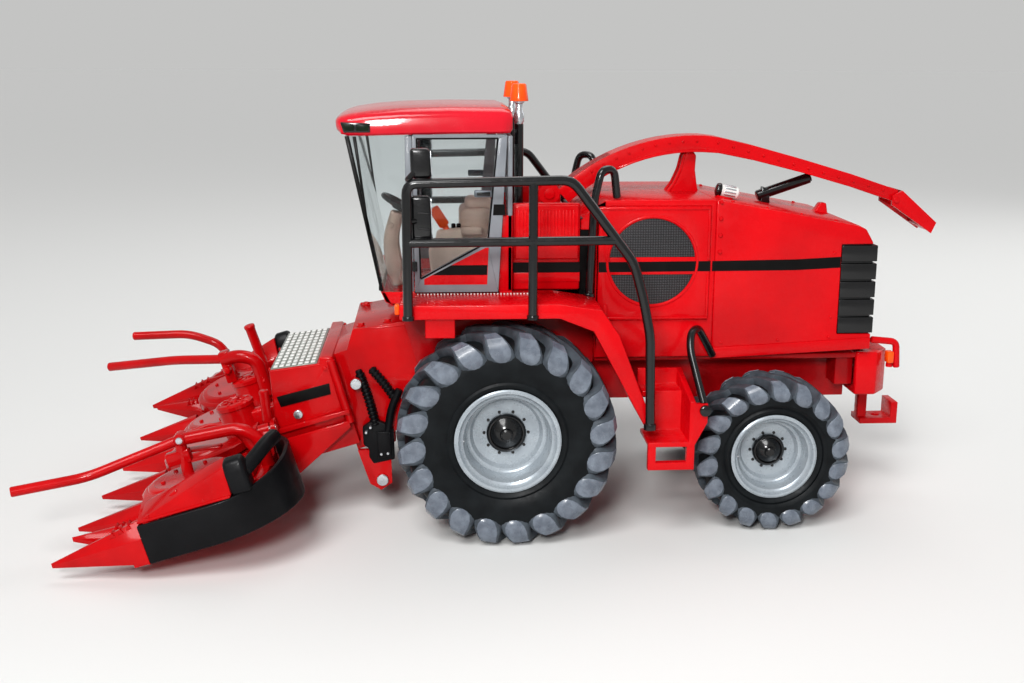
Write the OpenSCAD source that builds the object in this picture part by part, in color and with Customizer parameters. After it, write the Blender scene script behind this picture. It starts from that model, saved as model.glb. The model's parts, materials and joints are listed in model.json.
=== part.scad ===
// Scale model of a self-propelled forage harvester with a rotary maize header.
// +X forward, +Y left, +Z up. Origin on the floor, under the front axle.

/* [Wheels] */
// Radius of a front tyre out to its lug tips
front_tyre_r = 28.5; // [26:0.5:30]
// Width of a front tyre
front_tyre_w = 20; // [18:0.5:21]
// Radius of a front rim flange
front_rim_r = 13.6; // [13:0.1:14.5]
// Radius of a rear tyre out to its lug tips
rear_tyre_r = 20.8; // [19:0.2:21.4]
// Width of a rear tyre
rear_tyre_w = 16; // [14:0.5:16.5]
// Radius of a rear rim flange
rear_rim_r = 11.4; // [11:0.1:12]
// Distance between the front tyres' centre planes
front_track = 70; // [69:0.5:74]
// Distance between the rear tyres' centre planes
rear_track = 59; // [58:0.5:62]
// Distance between the front and rear axles
wheelbase = 71.2; // [70:0.2:74]
// Distance between the rear kingpins
kingpin_track = 36; // [34:0.5:37]

/* [Hood] */
// Half width of the hood and of the louvred box
hood_half_w = 24; // [23:0.25:25]
// Height of the hood's flat top
hood_top = 87.6; // [87:0.2:89]
// Front face of the hood
hood_front_x = -24.2; // [-25:0.2:-24]
// Seam between the front and rear hood
hood_seam_x = -56; // [-58:0.5:-55]
// Rear face of the hood
hood_rear_x = -99.6; // [-101:0.2:-99]
// Thickness of the hood's sheet
hood_wall = 1.6; // [1.2:0.1:2]
// Radius of the round screen in a side panel
screen_r = 11.6; // [10:0.2:12]

/* [Cab] */
// Half width of the cab's floor and roof
cab_half_w = 27; // [26.5:0.25:28]
// Height of the cab floor
cab_floor = 64.4; // [64:0.1:65]
// Height of the roof's underside
roof_low = 104.4; // [103:0.2:106]
// Height of the roof's crown
roof_high = 111.6; // [110:0.2:113]
// Thickness of the glazing
glass_t = 1; // [0.8:0.1:1.2]
// Thickness of a door frame
door_t = 1.6; // [1.4:0.1:1.8]

/* [Platform] */
// Outer edge of the platforms
deck_out = 44; // [43:0.25:45]
// Height of the deck
deck_top = 64; // [63.4:0.2:64.2]
// Thickness of the deck
deck_t = 3.6; // [3:0.1:4]
// Diameter of the railing tube
rail_d = 2; // [1.8:0.1:2.2]

/* [Spout] */
// Width of the spout
spout_w = 9; // [8:0.25:9.5]
// Depth of the spout
spout_d = 4.6; // [4:0.2:4.8]
// Axis of the spout turret
turret_x = -13; // [-13.4:0.1:-12]

/* [Header] */
// Nose-down tilt of the header
header_tilt = 16; // [15:0.5:17]
// Distance between neighbouring rotors
rotor_pitch = 27; // [26.8:0.1:28]
// Radius of a rotor out to its teeth
rotor_r = 13.1; // [12.6:0.1:13.2]
// Half width of the header at its side panels
header_half_w = 62.4; // [61:0.2:63]
// Angle by which the right wing stands raised
right_wing_raise = 9; // [0:1:12]
// Diameter of the push bar tube
bar_d = 2.4; // [2:0.1:2.6]

/* [Hidden] */
$fn = 48;

red = "#d0101c";
dark_red = "#a00c16";
black = "#17181a";
tyre_grey = "#2b2e30";
rim_grey = "#aab2ba";
frame_grey = "#7d8288";
glass = "#cfe0e6";
beige = "#b79c88";
orange = "#ff5a12";
silver = "#c9ccd0";

// Clearances: a turning pin in its bore, and two pieces that move past each other
pin_gap = 0.06;
door_gap = 0.3;

// Wheels
front_hub = [0, front_track / 2, front_tyre_r];
rear_hub = [-wheelbase, rear_track / 2, rear_tyre_r];
stub_r = 1.5;
rim_lip = 0.8;
rim_well = 1;
rim_wall = 0.9;
disc_t = 1.6;
tyre_round = 4;
// Axle and steering
axle_r = 4;
kingpin_y = kingpin_track / 2;
kingpin_r = 1.1;
kingpin_h = 5.4;
barrel_r = 2.6;
barrel_h = 3.2;
ear_t = 1.9;

// Chassis
rail_y = [9.5, 13];
rail_z = [31, 44];
chassis_top = 45.4;
chassis_rear_x = hood_rear_x + 3;
chassis_front_x = 4.5;

// Body shell
shell_half_w = 22;
shell_wall = 3;
shell_front_x = 27;
feeder_pin = [14, 38];
feeder_half_w = 18;

// Hood
rail_rise = [44.6, 47];
rail_h = 3.3;
hood_slope_end = [-94.6, 80.6];
hood_round_z = 76.2;
screen_c = [-39.2, 71.4];
panel_x = [-54.6, -24.8];
panel_z = [55.6, 86];
panel_proud = 0.6;
grille_x = -90.2;
grille_z = [51.2, 75.6];
box_x = [-20, -2.1];
box_floor = 81.8;
box_lip = 86.9;

// Cab
cab_x = [-2, 25.4];
door_x = [-0.6, 23.3];
door_top = 104;
pillar = 2;
door_out = cab_half_w + 1.4;

// Spout
spout_pin = [turret_x - 0.6, 87.2];
crest = [-54.1, 47, 56.1];
spout_flap_pin = [-111.6, 85.2];

// Rear end of the steps, clear of the rear tyre
step_x = -wheelbase + rear_tyre_r + 3.9;

// Header, in its own frame: x along the header, z square to its floor
header_at = [80, 0, 7];
rotor_x = -2.4;
cover_r = 12.4;
cover_z = [9.6, 13.2];
pan_t = 1.4;
wing_pin = [rotor_pitch, 15];
shield_c = [-8.7, header_half_w - 20.5];
shield_r = 20.5;
shield_h = 10;
shield_t = 1.2;

function arc(cx, cy, r, from, to, steps) =
    [for (i = [0 : steps]) let (a = from + (to - from) * i / steps) [cx + r * cos(a), cy + r * sin(a)]];

// Straight round rod between two points
module rod(a, b, d) {
    v = b - a;
    translate(a)
        rotate([0, acos(v.z / norm(v)), atan2(v.y, v.x)])
            cylinder(h = norm(v), d = d);
}

// Round tube through points, with a ball at each bend
module bent_tube(points, d) {
    last = len(points) - 1;
    for (i = [0 : last - 1]) rod(points[i], points[i + 1], d);
    if (last > 1) for (i = [1 : last - 1]) translate(points[i]) sphere(d = 1.12 * d);
}

// Box between two opposite corners
module block(low, high) {
    translate(low) cube(high - low);
}

// Side profile in x and z, as thick as from y0 to y1
module profile(points, y0, y1) {
    translate([0, y1, 0]) rotate([90, 0, 0]) linear_extrude(y1 - y0) polygon(points);
}

// Cylinder along y at x and z
module cross_pin(at, y0, y1, r) {
    translate([at.x, y1, at.y]) rotate([90, 0, 0]) cylinder(h = y1 - y0, r = r);
}

module rounded(w, h, r) {
    square([w - 2 * r, h], center = true);
    square([w, h - 2 * r], center = true);
    for (x = [-1, 1], y = [-1, 1]) translate([x * (w / 2 - r), y * (h / 2 - r)]) circle(r);
}

module both_sides() {
    children();
    mirror([0, 1, 0]) children();
}

module header_frame() {
    translate(header_at) rotate([0, header_tilt, 0]) children();
}

module raised(angle) {
    translate([0, wing_pin.x, wing_pin.y]) rotate([angle, 0, 0]) translate([0, -wing_pin.x, -wing_pin.y])
        children();
}

// Wheels: solids of revolution about the wheel's axis, outer side towards +z
module tyre_solid(r, w, rim_r) {
    bead_w = w - 3.2;
    rotate_extrude(convexity = 6) {
        translate([rim_r - rim_well, -bead_w / 2]) square([1.6, bead_w]);
        translate([(rim_r + 0.4 + r) / 2, 0]) rounded(r - rim_r - 0.4, w, tyre_round);
    }
}

module rim_solid(w, rim_r, disc_y, bore) {
    edge = (w - 3.2) / 2 + rim_lip;
    well = rim_r - rim_well;
    inner = well - rim_wall;
    hub_r = bore + 1.6;
    cap_r = rim_r * 0.34;
    rotate_extrude() polygon([
        [rim_r, edge], [rim_r, edge - rim_lip], [well, edge - rim_lip], [well, -edge + rim_lip],
        [rim_r, -edge + rim_lip], [rim_r, -edge], [inner, -edge], [inner, disc_y - disc_t],
        [hub_r, disc_y - disc_t], [hub_r, disc_y - 7], [bore, disc_y - 7], [bore, disc_y - 0.2],
        [0, disc_y - 0.2], [0, disc_y + 3.4], [cap_r * 0.3, disc_y + 3.4], [cap_r * 0.35, disc_y + 2.6],
        [cap_r * 0.8, disc_y + 2], [cap_r, disc_y + 0.8], [cap_r, disc_y], [rim_r * 0.64, disc_y],
        [rim_r * 0.66, disc_y + 1.2], [rim_r * 0.76, disc_y + 1.8], [rim_r * 0.8, edge - 1.6],
        [rim_r * 0.88, edge - 1.2], [rim_r * 0.92, edge - 0.4]
    ]);
}

module wheel_at(hub) {
    translate(hub) rotate([-90, 0, 0]) children();
}

module front_tyre() { wheel_at(front_hub) color(tyre_grey) tyre_solid(front_tyre_r, front_tyre_w, front_rim_r); }
module rear_tyre() { wheel_at(rear_hub) color(tyre_grey) tyre_solid(rear_tyre_r, rear_tyre_w, rear_rim_r); }
module front_rim() { wheel_at(front_hub) color(rim_grey) rim_solid(front_tyre_w, front_rim_r, 3, stub_r + pin_gap); }
module rear_rim() { wheel_at(rear_hub) color(rim_grey) rim_solid(rear_tyre_w, rear_rim_r, 2, stub_r + pin_gap); }

module tyre_fl() { front_tyre(); }
module tyre_fr() { mirror([0, 1, 0]) front_tyre(); }
module tyre_rl() { rear_tyre(); }
module tyre_rr() { mirror([0, 1, 0]) rear_tyre(); }
module rim_fl() { front_rim(); }
module rim_fr() { mirror([0, 1, 0]) front_rim(); }
module rim_rl() { rear_rim(); }
module rim_rr() { mirror([0, 1, 0]) rear_rim(); }

// Fixed front axle with the stubs on which the wheels turn
module front_axle() {
    stub_end = front_hub.y + 3 - 0.4;
    housing_end = front_hub.y + 3 - 7 - 0.3;
    color(dark_red) {
        cross_pin([0, front_tyre_r], -housing_end, housing_end, axle_r);
        cross_pin([0, front_tyre_r], -stub_end, stub_end, stub_r);
    }
}

// Rear axle beam: a bar with a fork for each kingpin
module rear_axle() {
    fork_y = kingpin_y - barrel_r - 0.4;
    bar_h = 2.2;
    translate([-wheelbase, 0, rear_tyre_r]) color(dark_red) {
        block([-3, -fork_y, -bar_h], [3, fork_y, bar_h]);
        block([-4, -8, bar_h], [4, 8, 33 - rear_tyre_r]);
        both_sides() difference() {
            union() {
                block([-2.5, fork_y - 1.5, -barrel_h - 0.2 - ear_t], [2.5, fork_y, barrel_h + 0.2 + ear_t]);
                for (z = [-barrel_h - 0.2 - ear_t, barrel_h + 0.2]) {
                    block([-2.5, fork_y - 1.5, z], [2.5, kingpin_y, z + ear_t]);
                    translate([0, kingpin_y, z]) cylinder(h = ear_t, r = 2.5);
                }
            }
            translate([0, kingpin_y, -9]) cylinder(h = 18, r = kingpin_r + pin_gap);
        }
    }
}

module knuckle() {
    stub_end = rear_hub.y + 2 - 0.4;
    shoulder_end = rear_hub.y + 2 - 7 - 0.3;
    translate([-wheelbase, kingpin_y, rear_tyre_r]) color(frame_grey) {
        translate([0, 0, -barrel_h]) cylinder(h = 2 * barrel_h, r = barrel_r);
        translate([0, 0, -kingpin_h]) cylinder(h = 2 * kingpin_h, r = kingpin_r);
        rotate([-90, 0, 0]) cylinder(h = shoulder_end - kingpin_y, r = 2.3);
        rotate([-90, 0, 0]) cylinder(h = stub_end - kingpin_y, r = stub_r);
    }
}

module knuckle_l() { knuckle(); }
module knuckle_r() { mirror([0, 1, 0]) knuckle(); }

// Two rails with a belly plate, and the plate that carries the hood
module chassis() {
    color(dark_red) difference() {
        union() {
            both_sides() block([chassis_rear_x, rail_y[0], rail_z[0]], [chassis_front_x, rail_y[1], rail_z[1]]);
            block([chassis_rear_x, -rail_y[0], 33], [-6, rail_y[0], 35]);
            block([chassis_rear_x, -hood_half_w + 2, rail_z[1]], [hood_front_x - 0.4, hood_half_w - 2, chassis_top]);
            block([chassis_rear_x, -20, 36], [chassis_rear_x + 5, 20, rail_z[1]]);
        }
        cross_pin([0, front_tyre_r], -rail_y[1] - 1, rail_y[1] + 1, axle_r);
    }
}

// Shell round the intake, between the front wheels
module body_shell() {
    cheek = [
        [hood_front_x, rail_z[1]], [-14, 36], [-7, front_tyre_r], [7, front_tyre_r], [10, 30], [19, 31],
        [22, 40], [shell_front_x, 57], [shell_front_x, 60.4], [hood_front_x, 60.4]
    ];
    color(dark_red) difference() {
        union() {
            both_sides() profile(cheek, shell_half_w - shell_wall, shell_half_w);
            block([hood_front_x, -shell_half_w, 58.6], [shell_front_x, shell_half_w, 60.4]);
            block([hood_front_x, -shell_half_w, rail_z[1]], [hood_front_x + 2, shell_half_w, 60.4]);
            block([hood_front_x, -shell_half_w, rail_z[1]], [-8, shell_half_w, rail_z[1] + 1.6]);
        }
        cross_pin([0, front_tyre_r], -shell_half_w - 1, shell_half_w + 1, axle_r);
        cross_pin(feeder_pin, -shell_half_w - 1, shell_half_w + 1, stub_r + pin_gap);
    }
}

// Deck beside the cab, and the fender behind the front wheel
module platform() {
    low = deck_top - deck_t;
    fender = [
        [-12.9, low], [-21.5, 57], [-35.2, 31.6], [-37.6, 31.6], [-28, 56], [-23.6, 62.4], [-12.9, deck_top]
    ];
    color(red) {
        block([cab_x[0], cab_half_w, low], [shell_front_x, deck_out, deck_top]);
        block([-12.9, hood_half_w, low], [cab_x[0], deck_out, deck_top]);
        profile(fender, hood_half_w + panel_proud, deck_out);
        block([13.2, 36, 55.2], [20.7, 42, low]);
        block([-12.9, shell_half_w, low - 1.2], [shell_front_x, cab_half_w + 3, low]);
    }
}

module platform_l() { platform(); }
module platform_r() { mirror([0, 1, 0]) platform(); }

// Two treads, their risers, the side plate and the open bottom step
module steps() {
    x0 = step_x;
    x1 = -36;
    riser_y = 33;
    out = deck_out + 0.6;
    color(red) {
        block([x0, hood_half_w, 37], [x1, riser_y, 38.4]);
        block([x0, hood_half_w, 38.4], [x1, hood_half_w + 1.4, 42.6]);
        block([x0, riser_y - 1.5, 27.8], [x1 - 1.7, riser_y, 37]);
        block([x0, riser_y - 1.5, 26.6], [x1, out, 27.8]);
        translate([x0 - 1.5, 0, 0]) rotate([90, 0, 90]) linear_extrude(1.5) polygon([
            [riser_y - 1.5, 26.6], [out, 26.6], [out, 38.4], [hood_half_w, 42.6], [hood_half_w, 37], [riser_y - 1.5, 37]
        ]);
        difference() {
            union() {
                profile([[x1, 20.4], [x1, 26.6], [x0 - 1.5, 26.6], [x0 - 1.5, 20.4]], out - 2, out);
                profile([[x0 - 1.5, 27], [x0 - 4.6, 33], [x0 - 4.6, 38], [x0 - 1.5, 38]], out - 1.5, out);
            }
            profile([[x1 - 2, 22.4], [x1 - 2, 26.6], [x0 + 0.5, 26.6], [x0 + 0.5, 22.4]], out - 3, out + 1);
        }
    }
}

// Railing outside the deck, with two mirrors on its front post
module railing(bend) {
    y = deck_out + rail_d / 2;
    top = 94.2;
    mid = 79.8;
    color(black) {
        bent_tube([[24.8, y, 61], [24.8, y, top], [bend, y, top + 0.8], [bend - 15.6, y, 74.6], [-33.7, y, 65],
            [-35.6, y, 56], [-36.2, y, 33]], rail_d);
        rod([24.8, y, mid], [bend - 11.3, y, mid + 0.4], rail_d - 0.2);
        rod([-6, y, 61], [-6, y, top + 0.6], rail_d - 0.2);
        for (z = [[94, 102.4], [79.6, 91]])
            block([18.8, y - 3.4, z[0]], [23.6, y - 1.2, z[1]]);
        for (z = [[93, 96], [85, 85]]) rod([24.8, y, z[0]], [21.4, y - 2.2, z[1]], 1.4);
    }
}

module railing_l() { railing(-15.4); }
module railing_r() { mirror([0, 1, 0]) railing(-11); }

// Louvred box behind the cab, open below, with a raised wall on the left
module louvre_box() {
    color(red) {
        difference() {
            block([box_x[0], -hood_half_w, deck_top], [box_x[1], hood_half_w, box_floor]);
            block([box_x[0] + 2, -hood_half_w + 2, deck_top - 1], [box_x[1] - 2, hood_half_w - 2, box_floor - 1.6]);
        }
        block([box_x[0], hood_half_w - 1.6, box_floor], [box_x[1], hood_half_w, box_lip]);
    }
}

// Front hood: front wall, top and skirts, with an opening for each side panel
module hood_front() {
    fold = -26.5;
    lip = [-20.3, 82];
    drop = (hood_top - lip.y) / (lip.x - fold);
    front_z = hood_top - (hood_front_x - fold) * drop;
    color(red) difference() {
        union() {
            profile([[hood_seam_x, chassis_top], [hood_seam_x, hood_top], [fold, hood_top],
                [hood_front_x, front_z], [hood_front_x, chassis_top]], -hood_half_w, hood_half_w);
            profile([[fold, 79.6], [fold, hood_top], lip, lip - [0, 2.4]], -hood_half_w + 2, hood_half_w - 2);
        }
        profile([[hood_seam_x - 1, chassis_top - 1], [hood_seam_x - 1, hood_top - hood_wall],
            [fold - 0.7, hood_top - hood_wall], [hood_front_x - hood_wall, front_z - 1.4],
            [hood_front_x - hood_wall, chassis_top - 1]], -hood_half_w + hood_wall, hood_half_w - hood_wall);
        block([panel_x[0], -hood_half_w - 1, panel_z[0]], [panel_x[1], hood_half_w + 1, panel_z[1]]);
    }
}

// Rear hood: sides, sloping top and rear wall, with a rail along its foot
module hood_rear() {
    seam = hood_seam_x;
    outline = [
        [seam, rail_rise[0]], [hood_rear_x, rail_rise[1]], [hood_rear_x, 73], [-98.6, hood_round_z],
        [hood_slope_end.x - 2, 79.6], hood_slope_end, [seam, hood_top]
    ];
    inside = [
        [seam + 1, chassis_top], [hood_rear_x + hood_wall, rail_rise[1] + 1], [hood_rear_x + hood_wall, 72.4],
        [-97, hood_round_z - 1], hood_slope_end + [1, -1.8], [seam + 1, hood_top - hood_wall]
    ];
    color(red) {
        difference() {
            profile(outline, -hood_half_w, hood_half_w);
            profile(inside, -hood_half_w + hood_wall, hood_half_w - hood_wall);
            profile([[seam + 1, 40], [seam + 1, chassis_top + 0.01], [hood_rear_x + 2, chassis_top + 0.01],
                [hood_rear_x + 2, 40]], -hood_half_w + hood_wall, hood_half_w - hood_wall);
            block([hood_rear_x - 1, -hood_half_w - 1, grille_z[0]], [grille_x, hood_half_w + 1, grille_z[1]]);
        }
        profile([[-93, 80.6], [-92.4, 84], [-90.6, 84], [-89, 81.4]], -1.5, 1.5);
    }
}

// Side panel with a round opening that holds a mesh screen
module side_panel() {
    y0 = hood_half_w - hood_wall;
    y1 = hood_half_w + panel_proud;
    color(red) difference() {
        block([panel_x[0], y0, panel_z[0]], [panel_x[1], y1, panel_z[1]]);
        cross_pin(screen_c, y1 - 0.7, y1 + 1, screen_r);
    }
}

module side_panel_l() { side_panel(); }
module side_panel_r() { mirror([0, 1, 0]) side_panel(); }

// Five-bladed grille that wraps round the rear of the hood
module rear_grille() {
    blades = 5;
    pitch = (grille_z[1] - grille_z[0]) / blades;
    color(black) difference() {
        union() {
            block([hood_rear_x + 0.6, -hood_half_w + 0.6, grille_z[0]], [grille_x, hood_half_w - 0.6, grille_z[1]]);
            for (i = [0 : blades - 1])
                block([hood_rear_x - 0.3, -hood_half_w - 0.2, grille_z[0] + i * pitch + 0.3],
                    [grille_x, hood_half_w + 0.2, grille_z[0] + (i + 1) * pitch - 0.3]);
        }
        block([hood_rear_x + 2.4, -hood_half_w + 2.4, grille_z[0] - 1], [grille_x + 1, hood_half_w - 2.4, grille_z[1] + 1]);
    }
}

function hood_z(x) =
    hood_top - (hood_top - hood_slope_end.y) * (hood_seam_x - x) / (hood_seam_x - hood_slope_end.x);

module exhaust() {
    color(black) {
        rod([-72.2, 0, hood_z(-72.2) + 2.1], [-87.4, 0, 92], 3.4);
        profile([[-76.4, hood_z(-76.4)], [-73.4, hood_z(-73.4)], [-73.4, 87.6], [-76.4, 87.6]], -1.5, 1.5);
    }
}

module filler_cap() {
    slope = atan((hood_top - hood_slope_end.y) / (hood_seam_x - hood_slope_end.x));
    translate([-60.5, 12, hood_z(-60.5)]) rotate([0, -slope, 0]) color(silver) {
        cylinder(h = 1.6, r = 3);
        translate([0, 0, 1.6]) cylinder(h = 1.2, r = 2);
    }
}

module spout_rest() {
    foot = [[-46.8, hood_top], [-49, 90.6], [-50.7, 94.6], [-51.6, 98.1], [-54.2, 98.1], [-54.4, 93.4],
        [-55.2, hood_top]];
    color(red) profile(foot, -2.5, 2.5);
}

module rear_bumper() {
    x1 = chassis_rear_x;
    color(red) difference() {
        translate([0, 0, 33.6]) linear_extrude(12) polygon([
            [x1, -22.5], [-102.4, -22.5], [-106.6, -17.5], [-106.6, 17.5], [-102.4, 22.5], [x1, 22.5]
        ]);
        block([x1 - 3, -20.6, 35.4], [x1 + 1, 20.6, 46]);
    }
}

module lamp_bars() {
    color(red) both_sides()
        bent_tube([[hood_rear_x - 1.2, 21, 48.9], [-107.9, 21, 48.2], [-108.4, 21, 41]], 1.8);
}

// Orange lenses: on the rear lamp bars and at the platforms' front ends
module marker_lamps() {
    color(orange) both_sides() {
        block([-107.16, 19.6, 42.4], [-105.4, 22.4, 45.6]);
        block([shell_front_x, 41, 61.6], [shell_front_x + 1.2, 43.4, 64.2]);
    }
}

// Drawbar plate with an upturned end, on a post under the bumper
module hitch() {
    x0 = -116.4;
    x1 = -105.4;
    color(dark_red) difference() {
        union() {
            block([x0, -4, 19.6], [x1, 4, 21.2]);
            block([x0, -4, 21.2], [x0 + 2, 4, 26]);
        }
        translate([x0 + 5.2, 0, 18]) cylinder(h = 6, r = 1.2);
    }
    color(black) block([x1 - 2.6, -1.6, 21.2], [x1, 1.6, 33.6]);
}

module grab_handles() {
    y = hood_half_w + 1.3;
    color(black) {
        both_sides()
            bent_tube([[-22.4, y, 62.75], [-23.4, y, 88], [-25.4, y - 0.4, 95], [-28.4, y - 2.8, 95.4],
                [-29.7, y - 3.4, hood_top + 1]], rail_d);
        bent_tube([[step_x - 3.7, deck_out - 0.6, 38.6], [-47.7, 35, 52], [-51, 30, 54.6], [-56.1, 25, 46]], rail_d);
    }
}

// Cab tub with its floor, pillars, rear frame and roof frame
module cab_body() {
    nose = [
        [cab_x[0], 60.4], [28.4, 60.4], [31, 61.6], [32.2, cab_floor], [cab_x[0], cab_floor]
    ];
    color(red) {
        profile(nose, -cab_half_w, cab_half_w);
        block([cab_x[0], -cab_half_w, cab_floor], [cab_x[0] + 1.2, cab_half_w, 76]);
    }
    color(frame_grey) {
        both_sides() {
            block([cab_x[0], cab_half_w - pillar, 76], [cab_x[0] + 1.2, cab_half_w, roof_low]);
            block([door_x[1] + door_gap, cab_half_w - pillar, cab_floor], [cab_x[1], cab_half_w, roof_low]);
        }
        block([cab_x[0], -cab_half_w + pillar, roof_low - 3], [cab_x[0] + 1.2, cab_half_w - pillar, roof_low]);
    }
}

// Wrap-round windscreen and rear window
module cab_glass() {
    outer = [[cab_x[1], cab_floor], [32.2, cab_floor], [40.4, roof_low], [cab_x[1], roof_low]];
    inner = [
        [cab_x[1] - 1, cab_floor - 1], [32.2 - glass_t - 0.2, cab_floor - 1],
        [40.4 - glass_t + 0.2, roof_low + 1], [cab_x[1] - 1, roof_low + 1]
    ];
    color(glass) {
        difference() {
            profile(outer, -cab_half_w, cab_half_w);
            profile(inner, -cab_half_w + glass_t, cab_half_w - glass_t);
        }
        block([cab_x[0], -cab_half_w + pillar, 76], [cab_x[0] + glass_t, cab_half_w - pillar, roof_low - 3]);
    }
}

module cab_roof() {
    side = [
        [-2.4, roof_low], [40.6, roof_low], [43.2, 109], [41.6, 110.4], [30, 111.2], [15, roof_high],
        [0, 111.4], [-2.4, 109.6]
    ];
    color(red) intersection() {
        profile(side, -cab_half_w - 0.8, cab_half_w + 0.8);
        translate([20.4, 0, 100]) linear_extrude(15) rounded(46, 2 * cab_half_w + 1.4, 5);
    }
}

// Door hinged at its front edge: frame and lower panel in one piece, round a pane
door_pane = [[2, 78.6], [2, 101.8], [21.4, 101.8], [21.4, 68.4], [5.4, 77.2]];

module door() {
    color(frame_grey) difference() {
        block([door_x[0], door_out - door_t, cab_floor], [door_x[1], door_out, door_top]);
        profile(door_pane, door_out - door_t - 1, door_out + 1);
    }
    color(black) for (z = [70, 98]) translate([door_x[1], door_out, z]) cylinder(h = 2.6, r = 0.7);
}

module door_glass() {
    color(glass) profile(door_pane, door_out - door_t + 0.3, door_out - door_t + 0.3 + glass_t);
}

module door_l() { door(); }
module door_r() { mirror([0, 1, 0]) door(); }
module door_glass_l() { door_glass(); }
module door_glass_r() { mirror([0, 1, 0]) door_glass(); }

module seat() {
    color(beige) {
        block([3, -7, cab_floor], [14, 7, cab_floor + 7]);
        block([2, -8, cab_floor + 7], [15, 8, cab_floor + 11]);
        block([2, -8, cab_floor + 11], [5.4, 8, 88]);
        block([6, 8, cab_floor], [17, 12, 75]);
    }
}

module steering_column() {
    color(beige) {
        rod([28.6, 0, cab_floor + 1.2], [29.6, 0, 76], 5);
        rod([29.6, 0, 76], [27.4, 0, 82], 4);
    }
    color(black) translate([27.6, 0, 84]) rotate([0, -30, 0]) {
        rotate_extrude() translate([5, 0]) circle(0.8);
        translate([0, 0, -1.6]) cylinder(h = 1.6, r = 1.6);
        for (a = [0, 120, 240]) rotate([0, 0, a]) rotate([0, 90, 0]) cylinder(h = 5, r = 0.5);
    }
}

beacon_at = [-4.4, 15];

module beacon_posts() {
    both_sides() translate([beacon_at.x, beacon_at.y, box_floor]) {
        color(black) cylinder(h = 106.8 - box_floor, r = 1.2);
        color(silver) translate([0, 0, 106.8 - box_floor]) {
            cylinder(h = 3.3, r = 1.25);
            cylinder(h = 5.9, r = 0.95);
        }
    }
}

module beacon_lenses() {
    color(orange) both_sides() translate([beacon_at.x, beacon_at.y, 112.7]) rotate_extrude()
        polygon([[0, 0], [2.5, 0], [1.9, 4.2], [1.6, 4.5], [0, 4.5]]);
}

// Turntable with a tongue that holds the spout's pin
module turret() {
    color(black) translate([turret_x, 0, box_floor]) cylinder(h = 1.9, r = 5.6);
    color(red) difference() {
        union() {
            block([spout_pin.x - 1.6, -2.6, box_floor + 1.9], [spout_pin.x + 1.6, 2.6, spout_pin.y]);
            cross_pin(spout_pin, -2.6, 2.6, 1.9);
        }
        cross_pin(spout_pin, -3, 3, 1 + pin_gap);
    }
}

// Spout: an arched channel, open below
module spout() {
    rear = [[-111.6, 87.6], [-98, 92], [-84, 96.2], [-70, 100.2], [-60, 102.6]];
    root = 47;
    top = concat(rear, arc(crest.x, crest.y, crest.z, 92, root, 14));
    low = concat([for (p = rear) p - [0.6, spout_d]], arc(crest.x, crest.y, crest.z - spout_d, 92, root, 14));
    outline = concat(top, [for (i = [len(low) - 1 : -1 : 0]) low[i]]);
    inner_top = concat([for (p = rear) p - [0.2, 1.2]], arc(crest.x, crest.y, crest.z - 1.2, 92, 62, 10));
    inner_low = concat([for (p = rear) p - [0.6, spout_d + 1]], arc(crest.x, crest.y, crest.z - spout_d - 1, 92, 62, 10));
    hollow = concat(inner_top, [for (i = [len(inner_low) - 1 : -1 : 0]) inner_low[i]]);
    y = spout_w / 2;
    color(red) {
        difference() {
            union() {
                profile(outline, -y, y);
                cross_pin(spout_pin, -y, y, 3);
            }
            profile(hollow, -y + 1.1, y - 1.1);
            cross_pin(spout_pin, -y + 1.1, y - 1.1, 2.2);
            profile([spout_pin + [-2.2, -6], spout_pin + [-2.2, 0], spout_pin + [2.2, 0], spout_pin + [5, -2.4],
                spout_pin + [5, -6]], -y + 1.1, y - 1.1);
        }
        cross_pin(spout_pin, -y + 0.5, y - 0.5, 1);
        translate([spout_flap_pin.x + 0.6, 0, spout_flap_pin.y]) {
            for (s = [-1, 1]) translate([0, s * (y + 0.2), 0]) rotate([90, 0, 0])
                cylinder(h = 2, r = 0.7, center = true);
        }
    }
}

// Deflector flap at the spout's end
module spout_flap() {
    p = spout_flap_pin + [0.6, 0];
    y = spout_w / 2;
    color(red) {
        profile([p + [-1.6, 2.6], p + [-11.9, -6.4], p + [-11.3, -8], p + [-1.6, 0.9]], -y, y);
        both_sides() difference() {
            union() {
                profile([p + [-1.6, 2.6], p + [-11.9, -6.4], p + [-10.6, -9.4], p + [1.2, -1.4], p + [1.2, 1.2]],
                    y + 0.1, y + 1.1);
                profile([p + [-1.6, 2.6], p + [-11.9, -6.4], p + [-11.3, -8], p + [-1.6, 0.9]], y, y + 0.1);
            }
            cross_pin(p, 0, 9, 0.7 + pin_gap);
        }
    }
}

// Feeder housing, hung on the shell by its two pins
module feeder() {
    outline = [
        [feeder_pin.x, 30], [feeder_pin.x, 46], [22, 53.4], [27.6, 54.4], [40.4, 52.3], [42, 46.8],
        [47.2, 45.3], [39.7, 18.8], [36, 20], [24, 27]
    ];
    inside = [
        [17, 18], [17, 45.4], [23, 51.4], [38.8, 50.2], [40.2, 45.2], [43.6, 43.6], [36.6, 20], [36, 16]
    ];
    color(red) {
        difference() {
            union() {
                cross_pin(feeder_pin, -feeder_half_w, feeder_half_w, 8);
                profile(outline, -feeder_half_w, feeder_half_w);
            }
            profile(inside, -feeder_half_w + 2, feeder_half_w - 2);
        }
        cross_pin(feeder_pin, -shell_half_w, shell_half_w, stub_r);
        both_sides() {
            profile([[30.6, 19], [39.6, 19], [36.4, 9.4], [33.4, 7.6], [30.4, 9.6]], feeder_half_w, feeder_half_w + 2);
            cross_pin([33, 10.8], feeder_half_w + 2, feeder_half_w + 2.8, 1.6);
            cross_pin([39.6, 38.2], feeder_half_w, feeder_half_w + 3.4, 1.5);
        }
    }
}

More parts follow.
